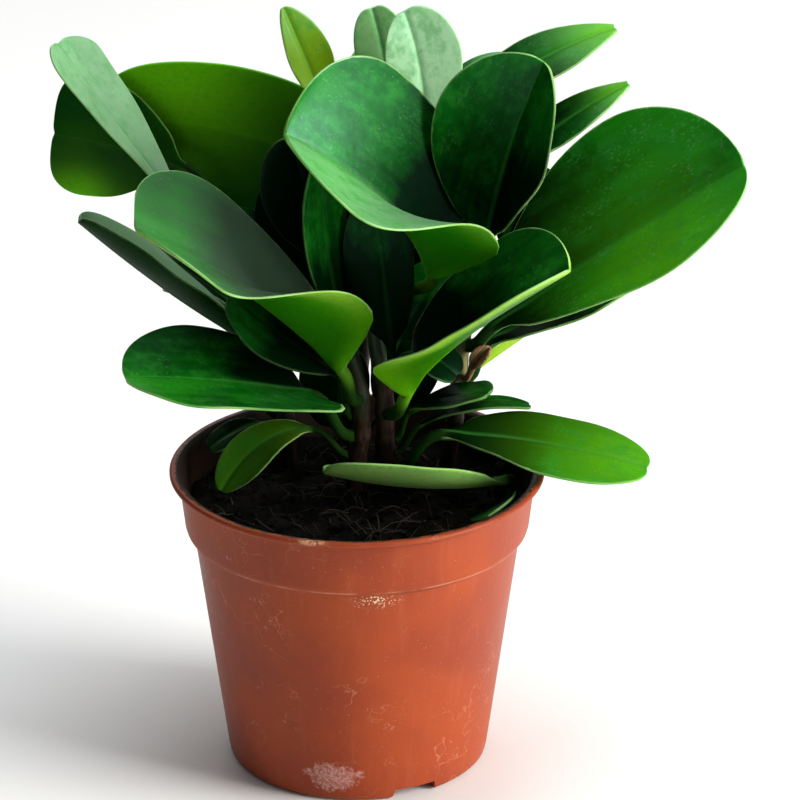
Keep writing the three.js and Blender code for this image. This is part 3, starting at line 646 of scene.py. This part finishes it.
def leaf_lower():
    s = Shade("leaf_lower")
    where = leaf_place(s)
    share, edge, light, lime = (s.leaf(key) for key in ("share", "edge", "light", "lime"))
    broad = s.noise(where, (0.04, 0.06, 1), 2)
    fine = s.noise(where, (0.6, 0.7, 1), 3, 0.6)
    funnel = s.times(s.span(share, 0, 0.8, 1, 0.4), s.span(edge, 0, 13, 1, 0.2), lime)
    yellowed = s.plus(s.span(broad, 0.4, 0.75, 0, 0.12), funnel)
    rimmed = s.times(s.span(edge, 0, 9, 0.6, 0), lime)
    # Painted light and shade: light brightens the underside or darkens it to deep green, and glow is painted
    # light coming through
    colour = s.coats(
        UNDER_GREEN,
        (s.math("MINIMUM", yellowed, 1), UNDER_LIME),
        (s.times(s.larger(light, 0), 0.6), UNDER_BRIGHT),
        (s.times(rimmed, s.span(share, 0.1, 0.4)), PALE_LIME),
        (s.larger(s.times(light, -1), 0), DEEP_GREEN),
        (s.leaf("young"), YOUNG_GREEN),
        (s.leaf("glow"), GLOW_GREEN),
        (s.times(s.leaf("pale"), 0.7), GREY_GREEN),
        (s.span(fine, 0.45, 0.75, 0, 0.25), LEAF_GREEN),
    )
    return s.finish(
        leaf_marks(s, colour, UNDER_LIME, 0.15, 0.55),
        s.vary(fine, 0.4, 0.5), Normal=s.bump(fine, 0.15, 0.0004),
        Subsurface_Weight=0.5, Subsurface_Radius=(0.4, 1, 0.08), Subsurface_Scale=0.0025,
        Specular_IOR_Level=0.04, Specular_Tint=(0.4, 1, 0.4),
    )


def stem_skin():
    s = Shade("stem_skin")
    bark = s.noise(s.place(), (900, 900, 250), 4, 0.6)
    patches = s.noise(s.place(), (60, 60, 40), 2)
    up = s.plus(s.attribute("stem_height"), s.vary(patches, -0.15, 0.15))
    colour = s.coats(
        STEM_BROWN,
        (s.span(bark, 0.35, 0.7), STEM_RED),
        (s.span(up, 0.3, 0.62), STEM_GREEN),
        (s.times(s.attribute("stem_pale"), s.vary(bark, 0.5, 1)), STEM_PALE),
    )
    return s.finish(
        colour, s.vary(bark, 0.4, 0.6), Normal=s.bump(bark, 0.35, 0.0005),
        Specular_IOR_Level=0.4,
    )


def bract_skin():
    s = Shade("bract_skin")
    lines = s.noise(leaf_place(s), (0.2, 3, 1), 3, 0.6)
    colour = s.mix(s.span(lines, 0.35, 0.65), BRACT_BROWN, BRACT_TAN)
    return s.finish(colour, 0.75, Normal=s.bump(lines, 0.4, 0.0005))


def pot_plastic():
    s = Shade("pot_plastic")
    where = s.place()
    grain = s.noise(where, 900, 3, 0.6)
    cloud = s.noise(where, 28, 3, 0.55)
    drawn = s.noise(where, (260, 260, 12), 3, 0.6)
    lime = lime_mask(s, where)
    colour = s.coats(
        POT_RED,
        (s.span(cloud, 0.32, 0.68), POT_ORANGE),
        (s.span(drawn, 0.5, 0.8, 0, 0.08), POT_STREAK),
        (s.span(grain, 0.55, 0.75, 0, 0.25), POT_GRAIN),
        (wear_mask(s, where), POT_WORN),
        (lime, LIME_WHITE),
        (crust_mask(s, where), CRUST_WHITE),
        (chip_mask(s, where), CHIP_TAN),
        # Painted shade on the inner face of the collar and the lip's inner edge
        (inside_shade_mask(s, where), INSIDE_SHADE),
    )
    height = s.plus(s.times(grain, 0.4), s.times(lime, 0.8))
    return s.finish(
        colour, s.vary(cloud, 0.42, 0.55), Normal=s.bump(height, 0.3, 0.0003),
        Subsurface_Weight=0.05, Subsurface_Radius=(1, 0.3, 0.15), Subsurface_Scale=0.001,
        Specular_IOR_Level=0.27, Specular_Tint=(1, 0.82, 0.72),
    )


# Marks on the pot: the middle of each and how far it reaches, in metres
LIME_PATCH = ((-0.008, -0.0425, 0.009), (0.0135, 0.03, 0.0078))
CRUST_PATCH = ((0.006, -0.0535, 0.0755), (0.01, 0.03, 0.0036))
SCUFFS = (
    ((-0.032, -0.042, 0.0705), (0.0045, 0.012, 0.0016)),
    ((-0.04, -0.036, 0.084), (0.002, 0.012, 0.002)),
    ((0.01, -0.045, 0.028), (0.003, 0.012, 0.002)),
)
CHIP = ((-0.0145, -0.0585, 0.0985), (0.0065, 0.004, 0.0016))
PALE_LINE_HEIGHT = 0.0792

# The collar's wall: its slope, and the radius of its middle where the slope meets the ground
COLLAR_SLOPE = (COLLAR_TOP_RADIUS - COLLAR_BOTTOM_RADIUS) / (COLLAR_HEIGHT - 6)
COLLAR_MIDDLE = COLLAR_BOTTOM_RADIUS - WALL / 2 - COLLAR_SLOPE * (POT_HEIGHT - COLLAR_HEIGHT + 2.6)

# Heights in metres between which the painted shade inside the collar begins, and between which it runs out on
# the lip
SHADE_START = (0.082, 0.084)
SHADE_END = (0.0972, 0.0984)


def patch(s, where, centre, reach):
    """One inside an ellipsoid at a point of the surface, falling to none at its edge."""
    away = s.vectors("DIVIDE", s.vectors("SUBTRACT", where, centre), reach)
    return s.span(s.length(away), 0.25, 1, 1, 0)


def lime_mask(s, where):
    """A powdery patch of lime, small scuffs and dust."""
    powder = s.noise(where, 420, 4, 0.7)
    crumbs = s.noise(where, 1100, 3, 0.7)
    spread = s.plus(patch(s, where, *LIME_PATCH), s.vary(powder, -0.4, 0.4))
    found = s.times(s.span(spread, 0.3, 0.75), s.span(crumbs, 0.38, 0.62, 0.2, 0.8))
    for mark in SCUFFS:
        found = s.larger(found, s.times(patch(s, where, *mark), s.span(crumbs, 0.52, 0.66, 0, 0.7)))
    return s.larger(found, s.span(s.noise(where, 1500, 1), 0.72, 0.8, 0, 0.4))


def crust_mask(s, where):
    """Golden-white grains in the angle under the collar."""
    grains = s.noise(where, 1500, 2, 0.6)
    return s.times(patch(s, where, *CRUST_PATCH), s.span(grains, 0.56, 0.62))


def wear_mask(s, where):
    """Faint curved scratches in patches, and a pale line along the lower edge of the collar."""
    loops = s.off(s.noise(where, 75, 4), 0.52)
    patches = s.span(s.noise(where, 40, 2), 0.5, 0.64, 0, 0.36)
    scratched = s.times(s.span(loops, 0, 0.008, 1, 0), patches)
    edge = s.span(s.off(s.height(where), PALE_LINE_HEIGHT), 0, 0.0006, 0.45, 0)
    return s.larger(scratched, s.times(edge, s.span(s.noise(where, 120), 0.36, 0.62)))


def chip_mask(s, where):
    return s.times(patch(s, where, *CHIP), s.span(s.noise(where, 700, 2), 0.35, 0.5))


def inside_shade_mask(s, where):
    """The inner face of the collar and the inner edge of the lip, darkened as painted shade."""
    radius = s.length(s.vectors("MULTIPLY", where, (1, 1, 0)))
    height = s.height(where)
    middle = s.math("MULTIPLY_ADD", height, COLLAR_SLOPE, COLLAR_MIDDLE * MM)
    on_lip = s.span(height, *SHADE_END, 0, 0.0016)
    ragged = s.times(s.vary(s.noise(where, 350), -0.0005, 0.0005), s.span(height, *SHADE_END))
    inside = s.math("LESS_THAN", radius, s.plus(middle, on_lip, ragged))
    return s.times(inside, s.span(height, *SHADE_START))


def peat():
    s = Shade("peat")
    clumps = s.noise(s.place(), 260, 4, 0.65)
    fine = s.noise(s.place(), 1500, 3, 0.7)
    colour = s.coats(
        PEAT_BLACK, (s.span(clumps, 0.35, 0.7), PEAT_BROWN), (s.span(fine, 0.64, 0.8, 0, 0.4), PEAT_GREY),
    )
    return s.finish(
        colour, s.vary(fine, 0.75, 0.95),
        Normal=s.bump(s.plus(clumps, s.times(fine, 0.5)), 0.8, 0.0015), Specular_IOR_Level=0.08,
    )


def fibre_skin():
    s = Shade("fibre_skin")
    tone = s.noise(s.place(), 90, 2)
    return s.finish(s.mix(s.span(tone, 0.35, 0.65), FIBRE_DARK, FIBRE_BROWN), 0.85)


def floor_paint():
    s = Shade("floor_paint")
    tone = s.noise(s.place(), 3, 2)
    colour = s.mix(s.vary(tone, 0, 1), FLOOR_GREY, FLOOR_WHITE)
    return s.finish(colour, 0.7, Specular_IOR_Level=0.2)


# Pot


def rounded(outline, radius=0.35):
    """The closed outline with each corner cut to a short arc."""
    made = []
    count = len(outline)
    for i, point in enumerate(outline):
        before, here, after = (np.array(outline[j % count], float) for j in (i - 1, i, i + 1))
        if here[0] == 0:
            made.append(point)
            continue
        back, ahead = before - here, after - here
        cut = min(radius, 0.4 * np.linalg.norm(back), 0.4 * np.linalg.norm(ahead))
        a, b = here + unit(back) * cut, here + unit(ahead) * cut
        for t in (0, 0.33, 0.67, 1):
            made.append(tuple(a * (1 - t) ** 2 + 2 * here * t * (1 - t) + b * t**2))
    return made


def turned(name, outline, sides, material):
    points, faces, index = [], [], []
    for radius, height in outline:
        if radius == 0:
            index.append([len(points)] * sides)
            points.append((0, 0, height))
            continue
        index.append(range(len(points), len(points) + sides))
        points += [(*polar(radius, TURN * k / sides), height) for k in range(sides)]
    for low, high in zip(index, index[1:]):
        for k in range(sides):
            n = (k + 1) % sides
            face = tuple(dict.fromkeys((low[k], low[n], high[n], high[k])))
            if len(face) > 2:
                faces.append(face)
    return mesh_object(name, points, faces, [material])


def pot_outline():
    """From the middle of the underside up the outer face, over the lip and down the inside to the floor."""
    low, wall, collar, top = WALL_BOTTOM_RADIUS, WALL_TOP_RADIUS, COLLAR_BOTTOM_RADIUS, COLLAR_TOP_RADIUS
    foot_inner = FOOT_RADIUS - FOOT_WIDTH
    floor_top = FLOOR_LIFT + WALL
    step = POT_HEIGHT - COLLAR_HEIGHT
    lip_low = POT_HEIGHT - LIP_HEIGHT
    return [
        (0, 0), (BOSS_RADIUS, 0), (BOSS_RADIUS + 1, FLOOR_LIFT), (foot_inner - 0.8, FLOOR_LIFT),
        (foot_inner, 0), (FOOT_RADIUS, 0), (FOOT_RADIUS + 1, 0.9), (low, 3.6), (wall, step - 0.5),
        (wall + 1.3, step), (collar - 0.5, step + 1), (collar, step + 2.6), (top, lip_low - 1.4),
        (LIP_RADIUS - 0.5, lip_low), (LIP_RADIUS, lip_low + 0.5), (LIP_RADIUS, POT_HEIGHT - 0.5),
        (LIP_RADIUS - 0.6, POT_HEIGHT), (top + 0.7, POT_HEIGHT), (top - WALL + 0.6, POT_HEIGHT - 0.8),
        (top - WALL, lip_low - 1.4), (collar - WALL, step + 2.2), (wall - WALL, step - 0.9),
        (low - WALL, floor_top + 1.2), (low - WALL - 1.2, floor_top), (0, floor_top),
    ]


def prism(corners_low, corners_high, low, high):
    """Points and faces of a closed prism between two outlines."""
    count = len(corners_low)
    points = [(x, y, low) for x, y in corners_low] + [(x, y, high) for x, y in corners_high]
    faces = [tuple(reversed(range(count))), tuple(range(count, 2 * count))]
    faces += [(k, (k + 1) % count, (k + 1) % count + count, k + count) for k in range(count)]
    return points, faces


def pot_cutters():
    """The foot's notches, which narrow upwards, and the floor's drain holes."""
    points, faces = [], []
    for i in range(NOTCH_COUNT):
        turn = radians(FIRST_NOTCH_ANGLE + 360 / NOTCH_COUNT * i)
        ends = []
        for half in (NOTCH_WIDTH / 2, (NOTCH_WIDTH - 3) / 2):
            corners = ((-0.9, -1), (0.9, -1), (0.9, 1), (-0.9, 1))
            ends.append([spun(FOOT_RADIUS + x * half, y * half, turn) for x, y in corners])
        gather(points, faces, prism(*ends, -NOTCH_HEIGHT, NOTCH_HEIGHT))
    circle = np.linspace(0, TURN, DRAIN_SIDES, endpoint=False)
    for i in range(DRAIN_COUNT):
        middle = np.array(polar(DRAIN_CIRCLE_RADIUS, TURN * (i + 0.5) / DRAIN_COUNT))
        ring = [middle + polar(DRAIN_RADIUS, angle) for angle in circle]
        gather(points, faces, prism(ring, ring, -1, FLOOR_LIFT + WALL + 1))
    return mesh_object("pot_cutters", points, faces)


def build_pot(material):
    pot = turned("pot_shell", rounded(pot_outline()), POT_SIDES, material)
    cutters = pot_cutters()
    cut = pot.modifiers.new("cut", "BOOLEAN")
    cut.object = cutters
    cut.operation = "DIFFERENCE"
    cut.solver = "EXACT"
    bpy.context.view_layer.update()
    evaluated = pot.evaluated_get(bpy.context.evaluated_depsgraph_get())
    mesh = bpy.data.meshes.new_from_object(evaluated)
    pot.modifiers.clear()
    pot.data = mesh
    bpy.data.objects.remove(cutters)
    mesh.polygons.foreach_set("use_smooth", [True] * len(mesh.polygons))
    mesh.set_sharp_from_angle(angle=radians(SHARP_ANGLE))
    stand_for(pot, "pot")


# Peat


def soil_height(x, y):
    bump = sin(0.31 * x + 1.3) * cos(0.27 * y) + 0.6 * sin(0.52 * y - 0.37 * x)
    return SOIL_LEVEL + SOIL_BUMP * bump


def crumbly(x, y):
    """The peat's fine relief on its broad one."""
    return soil_height(x, y) + SOIL_RELIEF * noise.fractal(Vector((x, y, 0)) * 0.35, 0.7, 2.1, 5)


def build_soil(material):
    step = POT_HEIGHT - COLLAR_HEIGHT
    rows = [
        (WALL_BOTTOM_RADIUS - SOIL_GAP - 1.4, FLOOR_LIFT + WALL + 0.4),
        (WALL_BOTTOM_RADIUS - SOIL_GAP, FLOOR_LIFT + WALL + 1.6),
        (WALL_TOP_RADIUS - SOIL_GAP, step - 1),
        (COLLAR_BOTTOM_RADIUS - SOIL_GAP, step + 2.2),
    ]
    angles = np.linspace(0, TURN, SOIL_SIDES, endpoint=False)
    rings = [np.array([(*polar(radius, a), height) for a in angles]) for radius, height in rows]
    for share in np.linspace(1, 0.02, SOIL_RINGS):
        places = [polar(SOIL_RIM * share, a) for a in angles]
        relief = crumbly if share < 1 else soil_height
        rings.append(np.array([(x, y, relief(x, y)) for x, y in places]))
    points, faces = loft(rings, (0, 0, rows[0][1]), (0, 0, crumbly(0, 0)))
    stand_for(mesh_object("peat", points, faces, [material]), "soil")


def scattered(draw, share):
    """A random place on the peat, within a share of its radius."""
    angle = draw.uniform(0, TURN)
    return polar(SOIL_RIM * share * sqrt(draw.random()), angle)


def crumb_ball():
    """Points and faces of a crumb before it is stretched: two poles and two rings of five."""
    points = [(0, 0, 1)]
    for first, height in ((0, 0.3), (36, -0.4)):
        for k in range(5):
            x, y = polar(0.895, radians(first + 72 * k))
            points.append((round(x, 2), round(y, 2), height))
    points.append((0, 0, -1))
    pairs = [(k, k % 5 + 1) for k in range(1, 6)]
    faces = [(0, a, b) for a, b in pairs] + [(a, a + 5, b) for a, b in pairs]
    faces += [(a + 5, b + 5, b) for a, b in pairs] + [(11, b + 5, a + 5) for a, b in pairs]
    return points, faces


def build_crumbs(draw, material):
    """Crumbs of peat on the surface, as one piece."""
    points, faces = [], []
    ball, sides = crumb_ball()
    for _ in range(CRUMB_COUNT):
        x, y = scattered(draw, 0.97)
        size = draw.uniform(0.35, 1) + 0.9 * draw.random() ** 5
        stretch = [draw.uniform(low, high) * size for low, high in ((0.7, 1.5), (0.7, 1.3), (0.5, 0.9))]
        turn = draw.uniform(0, TURN)
        crumb = []
        for corner in ball:
            across, deep, up = (c * stretch[k] * draw.uniform(0.75, 1.2) for k, c in enumerate(corner))
            dx, dy = spun(across, deep, turn)
            crumb.append((x + dx, y + dy, crumbly(x, y) + 0.25 * size + up))
        gather(points, faces, (crumb, sides))
    crumbs = mesh_object("peat_crumbs", points, faces, [material])
    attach(crumbs, "root")


def build_fibres(draw, material):
    """Fine root fibres that lie arched on the surface, as one piece."""
    points, faces = [], []
    for _ in range(FIBRE_COUNT):
        x, y = scattered(draw, 0.88)
        heading = draw.uniform(0, TURN)
        bend = draw.uniform(-0.09, 0.09)
        thick = draw.uniform(0.1, 0.28)
        arch = draw.uniform(0.2, 2.2)
        count = draw.randint(6, 12)
        rings = []
        for i in range(count):
            rise = crumbly(x, y) + 0.2 + arch * sin(pi * i / (count - 1))
            side = np.array((-sin(heading), cos(heading), 0))
            radius = thick * (1 - 0.5 * i / count)
            rings.append(np.array([
                np.array((x, y, rise)) + radius * (side * cos(a) + np.array((0, 0, 1)) * sin(a))
                for a in FIBRE_SECTION
            ]))
            x += FIBRE_STEP * cos(heading)
            y += FIBRE_STEP * sin(heading)
            if hypot(x, y) > SOIL_RIM * 0.96:
                break
            heading += bend + draw.uniform(-0.3, 0.3)
        if len(rings) > 2:
            gather(points, faces, loft(rings, rings[0].mean(0), rings[-1].mean(0)))
    fibres = mesh_object("peat_fibres", points, faces, [material])
    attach(fibres, "root")


# Stems


def stem_line(stem):
    x, y = stem["root"]
    return through([(x, y, SOIL_LEVEL - STEM_DEPTH), (x, y, SOIL_LEVEL), *stem["path"]])


def stem_radius(stem, share):
    return stem["radius"] * (1 - STEM_TAPER * share**2)


def build_stem(name, material):
    """A stem that swells where its leaves leave it and is rounded off at its top."""
    stem = STEMS[name]
    line = stem_line(stem)
    scars = sorted(line.share_at(form["leaves_at"]) for form in LEAVES.values() if form["stem"] == name)
    pale_at, paleness = stem.get("pale", (0, 0))
    phase = random.Random("stem_" + name).uniform(0, 6)
    count = max(24, int(line.length / STEM_RING_STEP))
    rings, heights, pales = [], [], []
    for i in range(count + 1):
        share = i / count
        along = line.along(share)
        across = square_to((1, 0, 0), along)
        other = np.cross(along, across)
        swell = sum(
            SCAR_SWELL * exp(-(((share - scar) * line.length / SCAR_REACH) ** 2)) for scar in scars
        )
        swell += STEM_LUMPS * sin(share * line.length * 0.35 + phase)
        radius = stem_radius(stem, share) * (0.95 + swell)
        radius *= sqrt(clamp(1 - max(0, (share - STEM_TOP) / (1 - STEM_TOP)) ** 2))
        ring = []
        for k in range(STEM_SIDES):
            angle = TURN * k / STEM_SIDES
            lumpy = 1 + STEM_LUMPS * sin(3 * angle + phase + share * 9)
            outward = across * cos(angle) + other * sin(angle)
            ring.append(line.at(share) + max(radius, 0.3) * lumpy * outward)
        rings.append(np.array(ring))
        heights += [share * line.length / STEM_COLOUR_SPAN] * STEM_SIDES
        pales += [paleness * exp(-(((line.at(share)[2] - pale_at) / PALE_REACH) ** 2))] * STEM_SIDES
    points, faces = loft(rings, line.at(0), line.at(1) + line.along(1) * 0.5)
    floats = {"stem_height": [*heights, 0, heights[-1]], "stem_pale": [*pales, 0, pales[-1]]}
    stalk = mesh_object("stalk_" + name, points, faces, [material], floats=floats)
    stand_for(stalk, "stem_" + name)


# Leaves


def half_width(form, share):
    """The outline of a half as a share of its width."""
    if share < form["widest"]:
        return sin(pi / 2 * (share / form["widest"])) ** form["full"]
    return max(0, 1 - ((share - form["widest"]) / (1 - form["widest"])) ** 2) ** form["taper"]


def blade_columns(form, share, petiole):
    """The places across a blade from the left margin to the right: half, share of its width, width."""
    halves = []
    for side in (0, 1):
        width = petiole + (form["halves"][side] - petiole) * half_width(form, share)
        edge_share = min(EDGE_STEPS[0] / width, 0.5)
        places = [p * (1 - edge_share) / HALF_PLACES[-1] for p in HALF_PLACES[1:-1]]
        places += [1 - step / EDGE_STEPS[0] * edge_share for step in EDGE_STEPS]
        halves.append([(side, place, width) for place in places])
    left, right = halves
    return left[::-1] + [(1, 0, width)] + right


def blade_ring(form, share, centre, along, face, petiole, phases):
    """One ring from the left margin over the upper face and back: each point, its arc and its distance in."""
    right = np.cross(along, face)
    body = ease(share / BLADE_STARTS_AT)
    lobe = share / LOBE_AT * exp(1 - share / LOBE_AT)
    tip = ease((share - TIP_STARTS_AT) / (1 - TIP_STARTS_AT))
    opened = ease(share / form["opens"])
    cups = [radians(a + (b - a) * opened) for a, b in (form["left"], form["right"])]
    rib_turn = CUP_AT_RIB * (cups[1] - cups[0]) / 2
    upper, lower = [], []
    for side, place, width in blade_columns(form, share, petiole):
        arc = place * width
        edge = width - arc
        sign = 1 if side else -1
        start, bend = CUP_AT_RIB * cups[side], CUP_BEND * cups[side] * place
        out, up = polar(arc, start + bend / 2)
        near_rib = 1 - ease(arc / RIB_BLEND)
        turn = (start + bend) * (1 - near_rib) + sign * rib_turn * near_rib
        round_off = sqrt(max(0, 1 - (1 - min(edge / EDGE_STEPS[0], 1)) ** 2))
        half = (BLADE_THICKNESS + (MARGIN_THICKNESS - BLADE_THICKNESS) * place**2) / 2 * round_off
        wave = sin(RIPPLE_PACES[0] * share + phases[side])
        wave += FINE_RIPPLE * sin(RIPPLE_PACES[1] * share + phases[2 + side])
        wave *= RIPPLE * place**2 * min(1, width / RIPPLE_FULL_WIDTH)
        groove = exp(-((arc / GROOVE_REACH) ** 2))
        notch = NOTCH_AT_TIP * tip * exp(-((arc / NOTCH_REACH) ** 2))
        back = form["lobes"][side] * lobe * place**2 + notch
        across, high = polar(petiole, pi / 2 * (1 - sign * place))
        for rows, over in ((upper, 1), (lower, -1)):
            thick = half - (GROOVE * groove if over > 0 else -KEEL * groove * (1 - share))
            blade_x = sign * (out - (over * half + wave) * sin(turn))
            blade_y = up + (over * thick + wave) * cos(turn)
            x = across + (blade_x - across) * body
            y = over * high + (blade_y - over * high) * body
            rows.append((centre + right * x + face * y - along * back, sign * arc, edge))
    return upper + lower[-2:0:-1]


def leaf_stalk(form, midrib):
    """The stalk's curve, from inside the stem to the blade's base."""
    stem = STEMS[form["stem"]]
    line = stem_line(stem)
    share = line.share_at(form["leaves_at"])
    axis, radius = line.at(share), stem_radius(stem, share)
    base = np.array(form["base"], float)
    away = square_to(base - axis, line.along(share))
    start = axis + away * radius * STALK_ROOT
    pull = np.linalg.norm(axis + away * radius - base) * PETIOLE_PULL
    return bezier(start, start + away * pull, base - midrib.along(0) * pull, base)


def leaf_rings(form, midrib, stalk, petiole, phases):
    """The rings of stalk and blade, and for each its share of the length and its place in millimetres."""
    rings, runs = [], []
    face = square_to(form["face"], midrib.along(0))
    for i in reversed(range(PETIOLE_RINGS)):
        share = i / PETIOLE_RINGS
        along = stalk.along(share)
        face = square_to(face, along)
        flare = 1 + STALK_FLARE * (1 - share) ** 6
        rings.insert(0, blade_ring(form, 0, stalk.at(share), along, face, petiole * flare, phases))
        runs.insert(0, (share - 1, -stalk.length * (1 - share)))
    for i in range(BLADE_RINGS):
        share = sin(pi / 2 * i / BLADE_RINGS)
        along = midrib.along(share)
        face = square_to(form["face"], along)
        rings.append(blade_ring(form, share, midrib.at(share), along, face, petiole, phases))
        runs.append((share, share * midrib.length))
    return rings, runs


def leaf_floats(form, rows, length, draw):
    """What the shader reads at each point: its place on the leaf, and the leaf's colour there."""
    share, run, arc, edge = np.array(rows, float).T
    tone = draw.uniform(-TONE_SPREAD, TONE_SPREAD)
    on_right = ease(arc / HALF_BLEND + 0.5)

    def by_half(values):
        return values[0] * (1 - on_right) + values[1] * on_right

    at, beside, reach, strength = form["glow"]
    away = np.hypot(run - at * length, arc - beside) / reach
    lit_from, lit_to, depth = form["dusk"]
    floats = {"share": share, "along": run, "arc": arc, "edge": edge}
    floats["seed"] = np.full(len(run), draw.random())
    # Painted light and shade, painted sheen and painted glow, which the shader lays on the colour
    floats["light"] = np.clip(form["light"] + tone + by_half(form["half_light"]), -1, 1)
    floats["dusk"] = depth * (1 - ease((share - lit_from) / (lit_to - lit_from)))
    floats["painted_sheen"] = by_half(form["painted_sheen"])
    floats["glow"] = strength * np.exp(-(away**2))
    for key in ("young", "pale", "margin", "lime", "gloss"):
        floats[key] = np.full(len(run), form[key])
    return {"leaf_" + key: values for key, values in floats.items()}


def build_leaf(node, piece, form, materials):
    midrib = bezier(form["base"], form["via"], form["tip"])
    stalk = leaf_stalk(form, midrib)
    petiole = clamp(midrib.length * PETIOLE_SHARE, *PETIOLE_RADIUS)
    draw = random.Random(node)
    phases = [draw.uniform(0, 6.28) for _ in range(4)]
    rings, runs = leaf_rings(form, midrib, stalk, petiole, phases)
    rows = [(*run, arc, edge) for ring, run in zip(rings, runs) for _, arc, edge in ring]
    rows += [(*runs[0], 0, petiole), (1, midrib.length, 0, 0)]
    tip = midrib.at(1) - midrib.along(1) * NOTCH_AT_TIP
    points, faces = loft([np.array([point for point, _, _ in ring]) for ring in rings], stalk.at(0), tip)
    low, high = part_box(node)
    points = np.clip(points, np.array(low) / MM, np.array(high) / MM)
    sides = len(rings[0])
    around = sides * len(rings)
    slots = [int(max(i % sides for i in face if i < around) >= UPPER_POINTS) for face in faces]
    floats = leaf_floats(form, rows, midrib.length, draw)
    stand_for(mesh_object(piece, points, faces, materials, slots, floats), node)


# The object
build_pot(pot_plastic())
peat_material = peat()
build_soil(peat_material)
litter_draw = random.Random(7)
build_crumbs(litter_draw, peat_material)
build_fibres(litter_draw, fibre_skin())
leaf_skins = [leaf_upper(), leaf_lower()]
stem_material = stem_skin()
for stem_name in STEMS:
    build_stem(stem_name, stem_material)
for name, form in LEAVES.items():
    build_leaf("leaf_" + name, "blade_" + name, form, leaf_skins)
build_leaf("bract", "withered_bract", BRACT, [bract_skin()] * 2)

# Floor, light and camera
FLOOR_REACH = 4000
FLOOR_DROP = 0.3
corners = [(x * FLOOR_REACH, y * FLOOR_REACH, -FLOOR_DROP) for x, y in ((-1, -1), (1, -1), (1, 1), (-1, 1))]
floor = mesh_object("floor", corners, [(0, 1, 2, 3)], [floor_paint()])

world = bpy.data.worlds.new("studio")
bpy.context.scene.world = world
world.use_nodes = True
backdrop = world.node_tree.nodes["Background"]
backdrop.inputs["Color"].default_value = (0.94, 0.97, 1, 1)
backdrop.inputs["Strength"].default_value = 0.12
bpy.context.scene.view_settings.view_transform = "Standard"

# Each lamp's place, size, power and colour; all look at one point of the plant
LIT_POINT = Vector((0, 0, 0.13))
LAMPS = {
    "softbox_above": ((0.1, 0.25, 1.5), (1.1, 1.1), 19, (0.97, 0.99, 1)),
    "key_right": ((1.3, -0.5, 0.65), (0.7, 0.9), 34, (1, 0.98, 0.94)),
    "low_right": ((1, -0.75, 0.14), (0.4, 0.2), 4, (1, 0.98, 0.95)),
    "rim_back": ((-0.3, 1.4, 0.8), (0.9, 0.7), 4, (1, 1, 0.97)),
}
for lamp_name, (place, size, power, colour) in LAMPS.items():
    lamp_data = bpy.data.lights.new(lamp_name, "AREA")
    lamp_data.shape = "RECTANGLE"
    lamp_data.size, lamp_data.size_y = size
    lamp_data.energy = power
    lamp_data.color = colour
    lamp = placed(lamp_name, lamp_data)
    lamp.location = place
    lamp.rotation_euler = (LIT_POINT - Vector(place)).to_track_quat("-Z", "Y").to_euler()

camera_data = bpy.data.cameras.new("camera")
camera_data.sensor_width = SENSOR
camera_data.lens = FOCAL_PIXELS * SENSOR / PIXELS_WIDE
camera_data.clip_start = 0.05
camera_data.clip_end = 20
camera = placed("camera", camera_data)
elevation = radians(CAMERA_ELEVATION)
away, up = polar(CAMERA_DISTANCE, elevation)
camera.location = (0, -away, AIM_HEIGHT + up)
pitch = atan((AIM_PIXEL[1] - PIXELS_WIDE / 2) / FOCAL_PIXELS)
yaw = atan((AIM_PIXEL[0] - PIXELS_WIDE / 2) / FOCAL_PIXELS)
camera.rotation_euler = (pi / 2 - elevation + pitch, 0, yaw)
bpy.context.scene.camera = camera
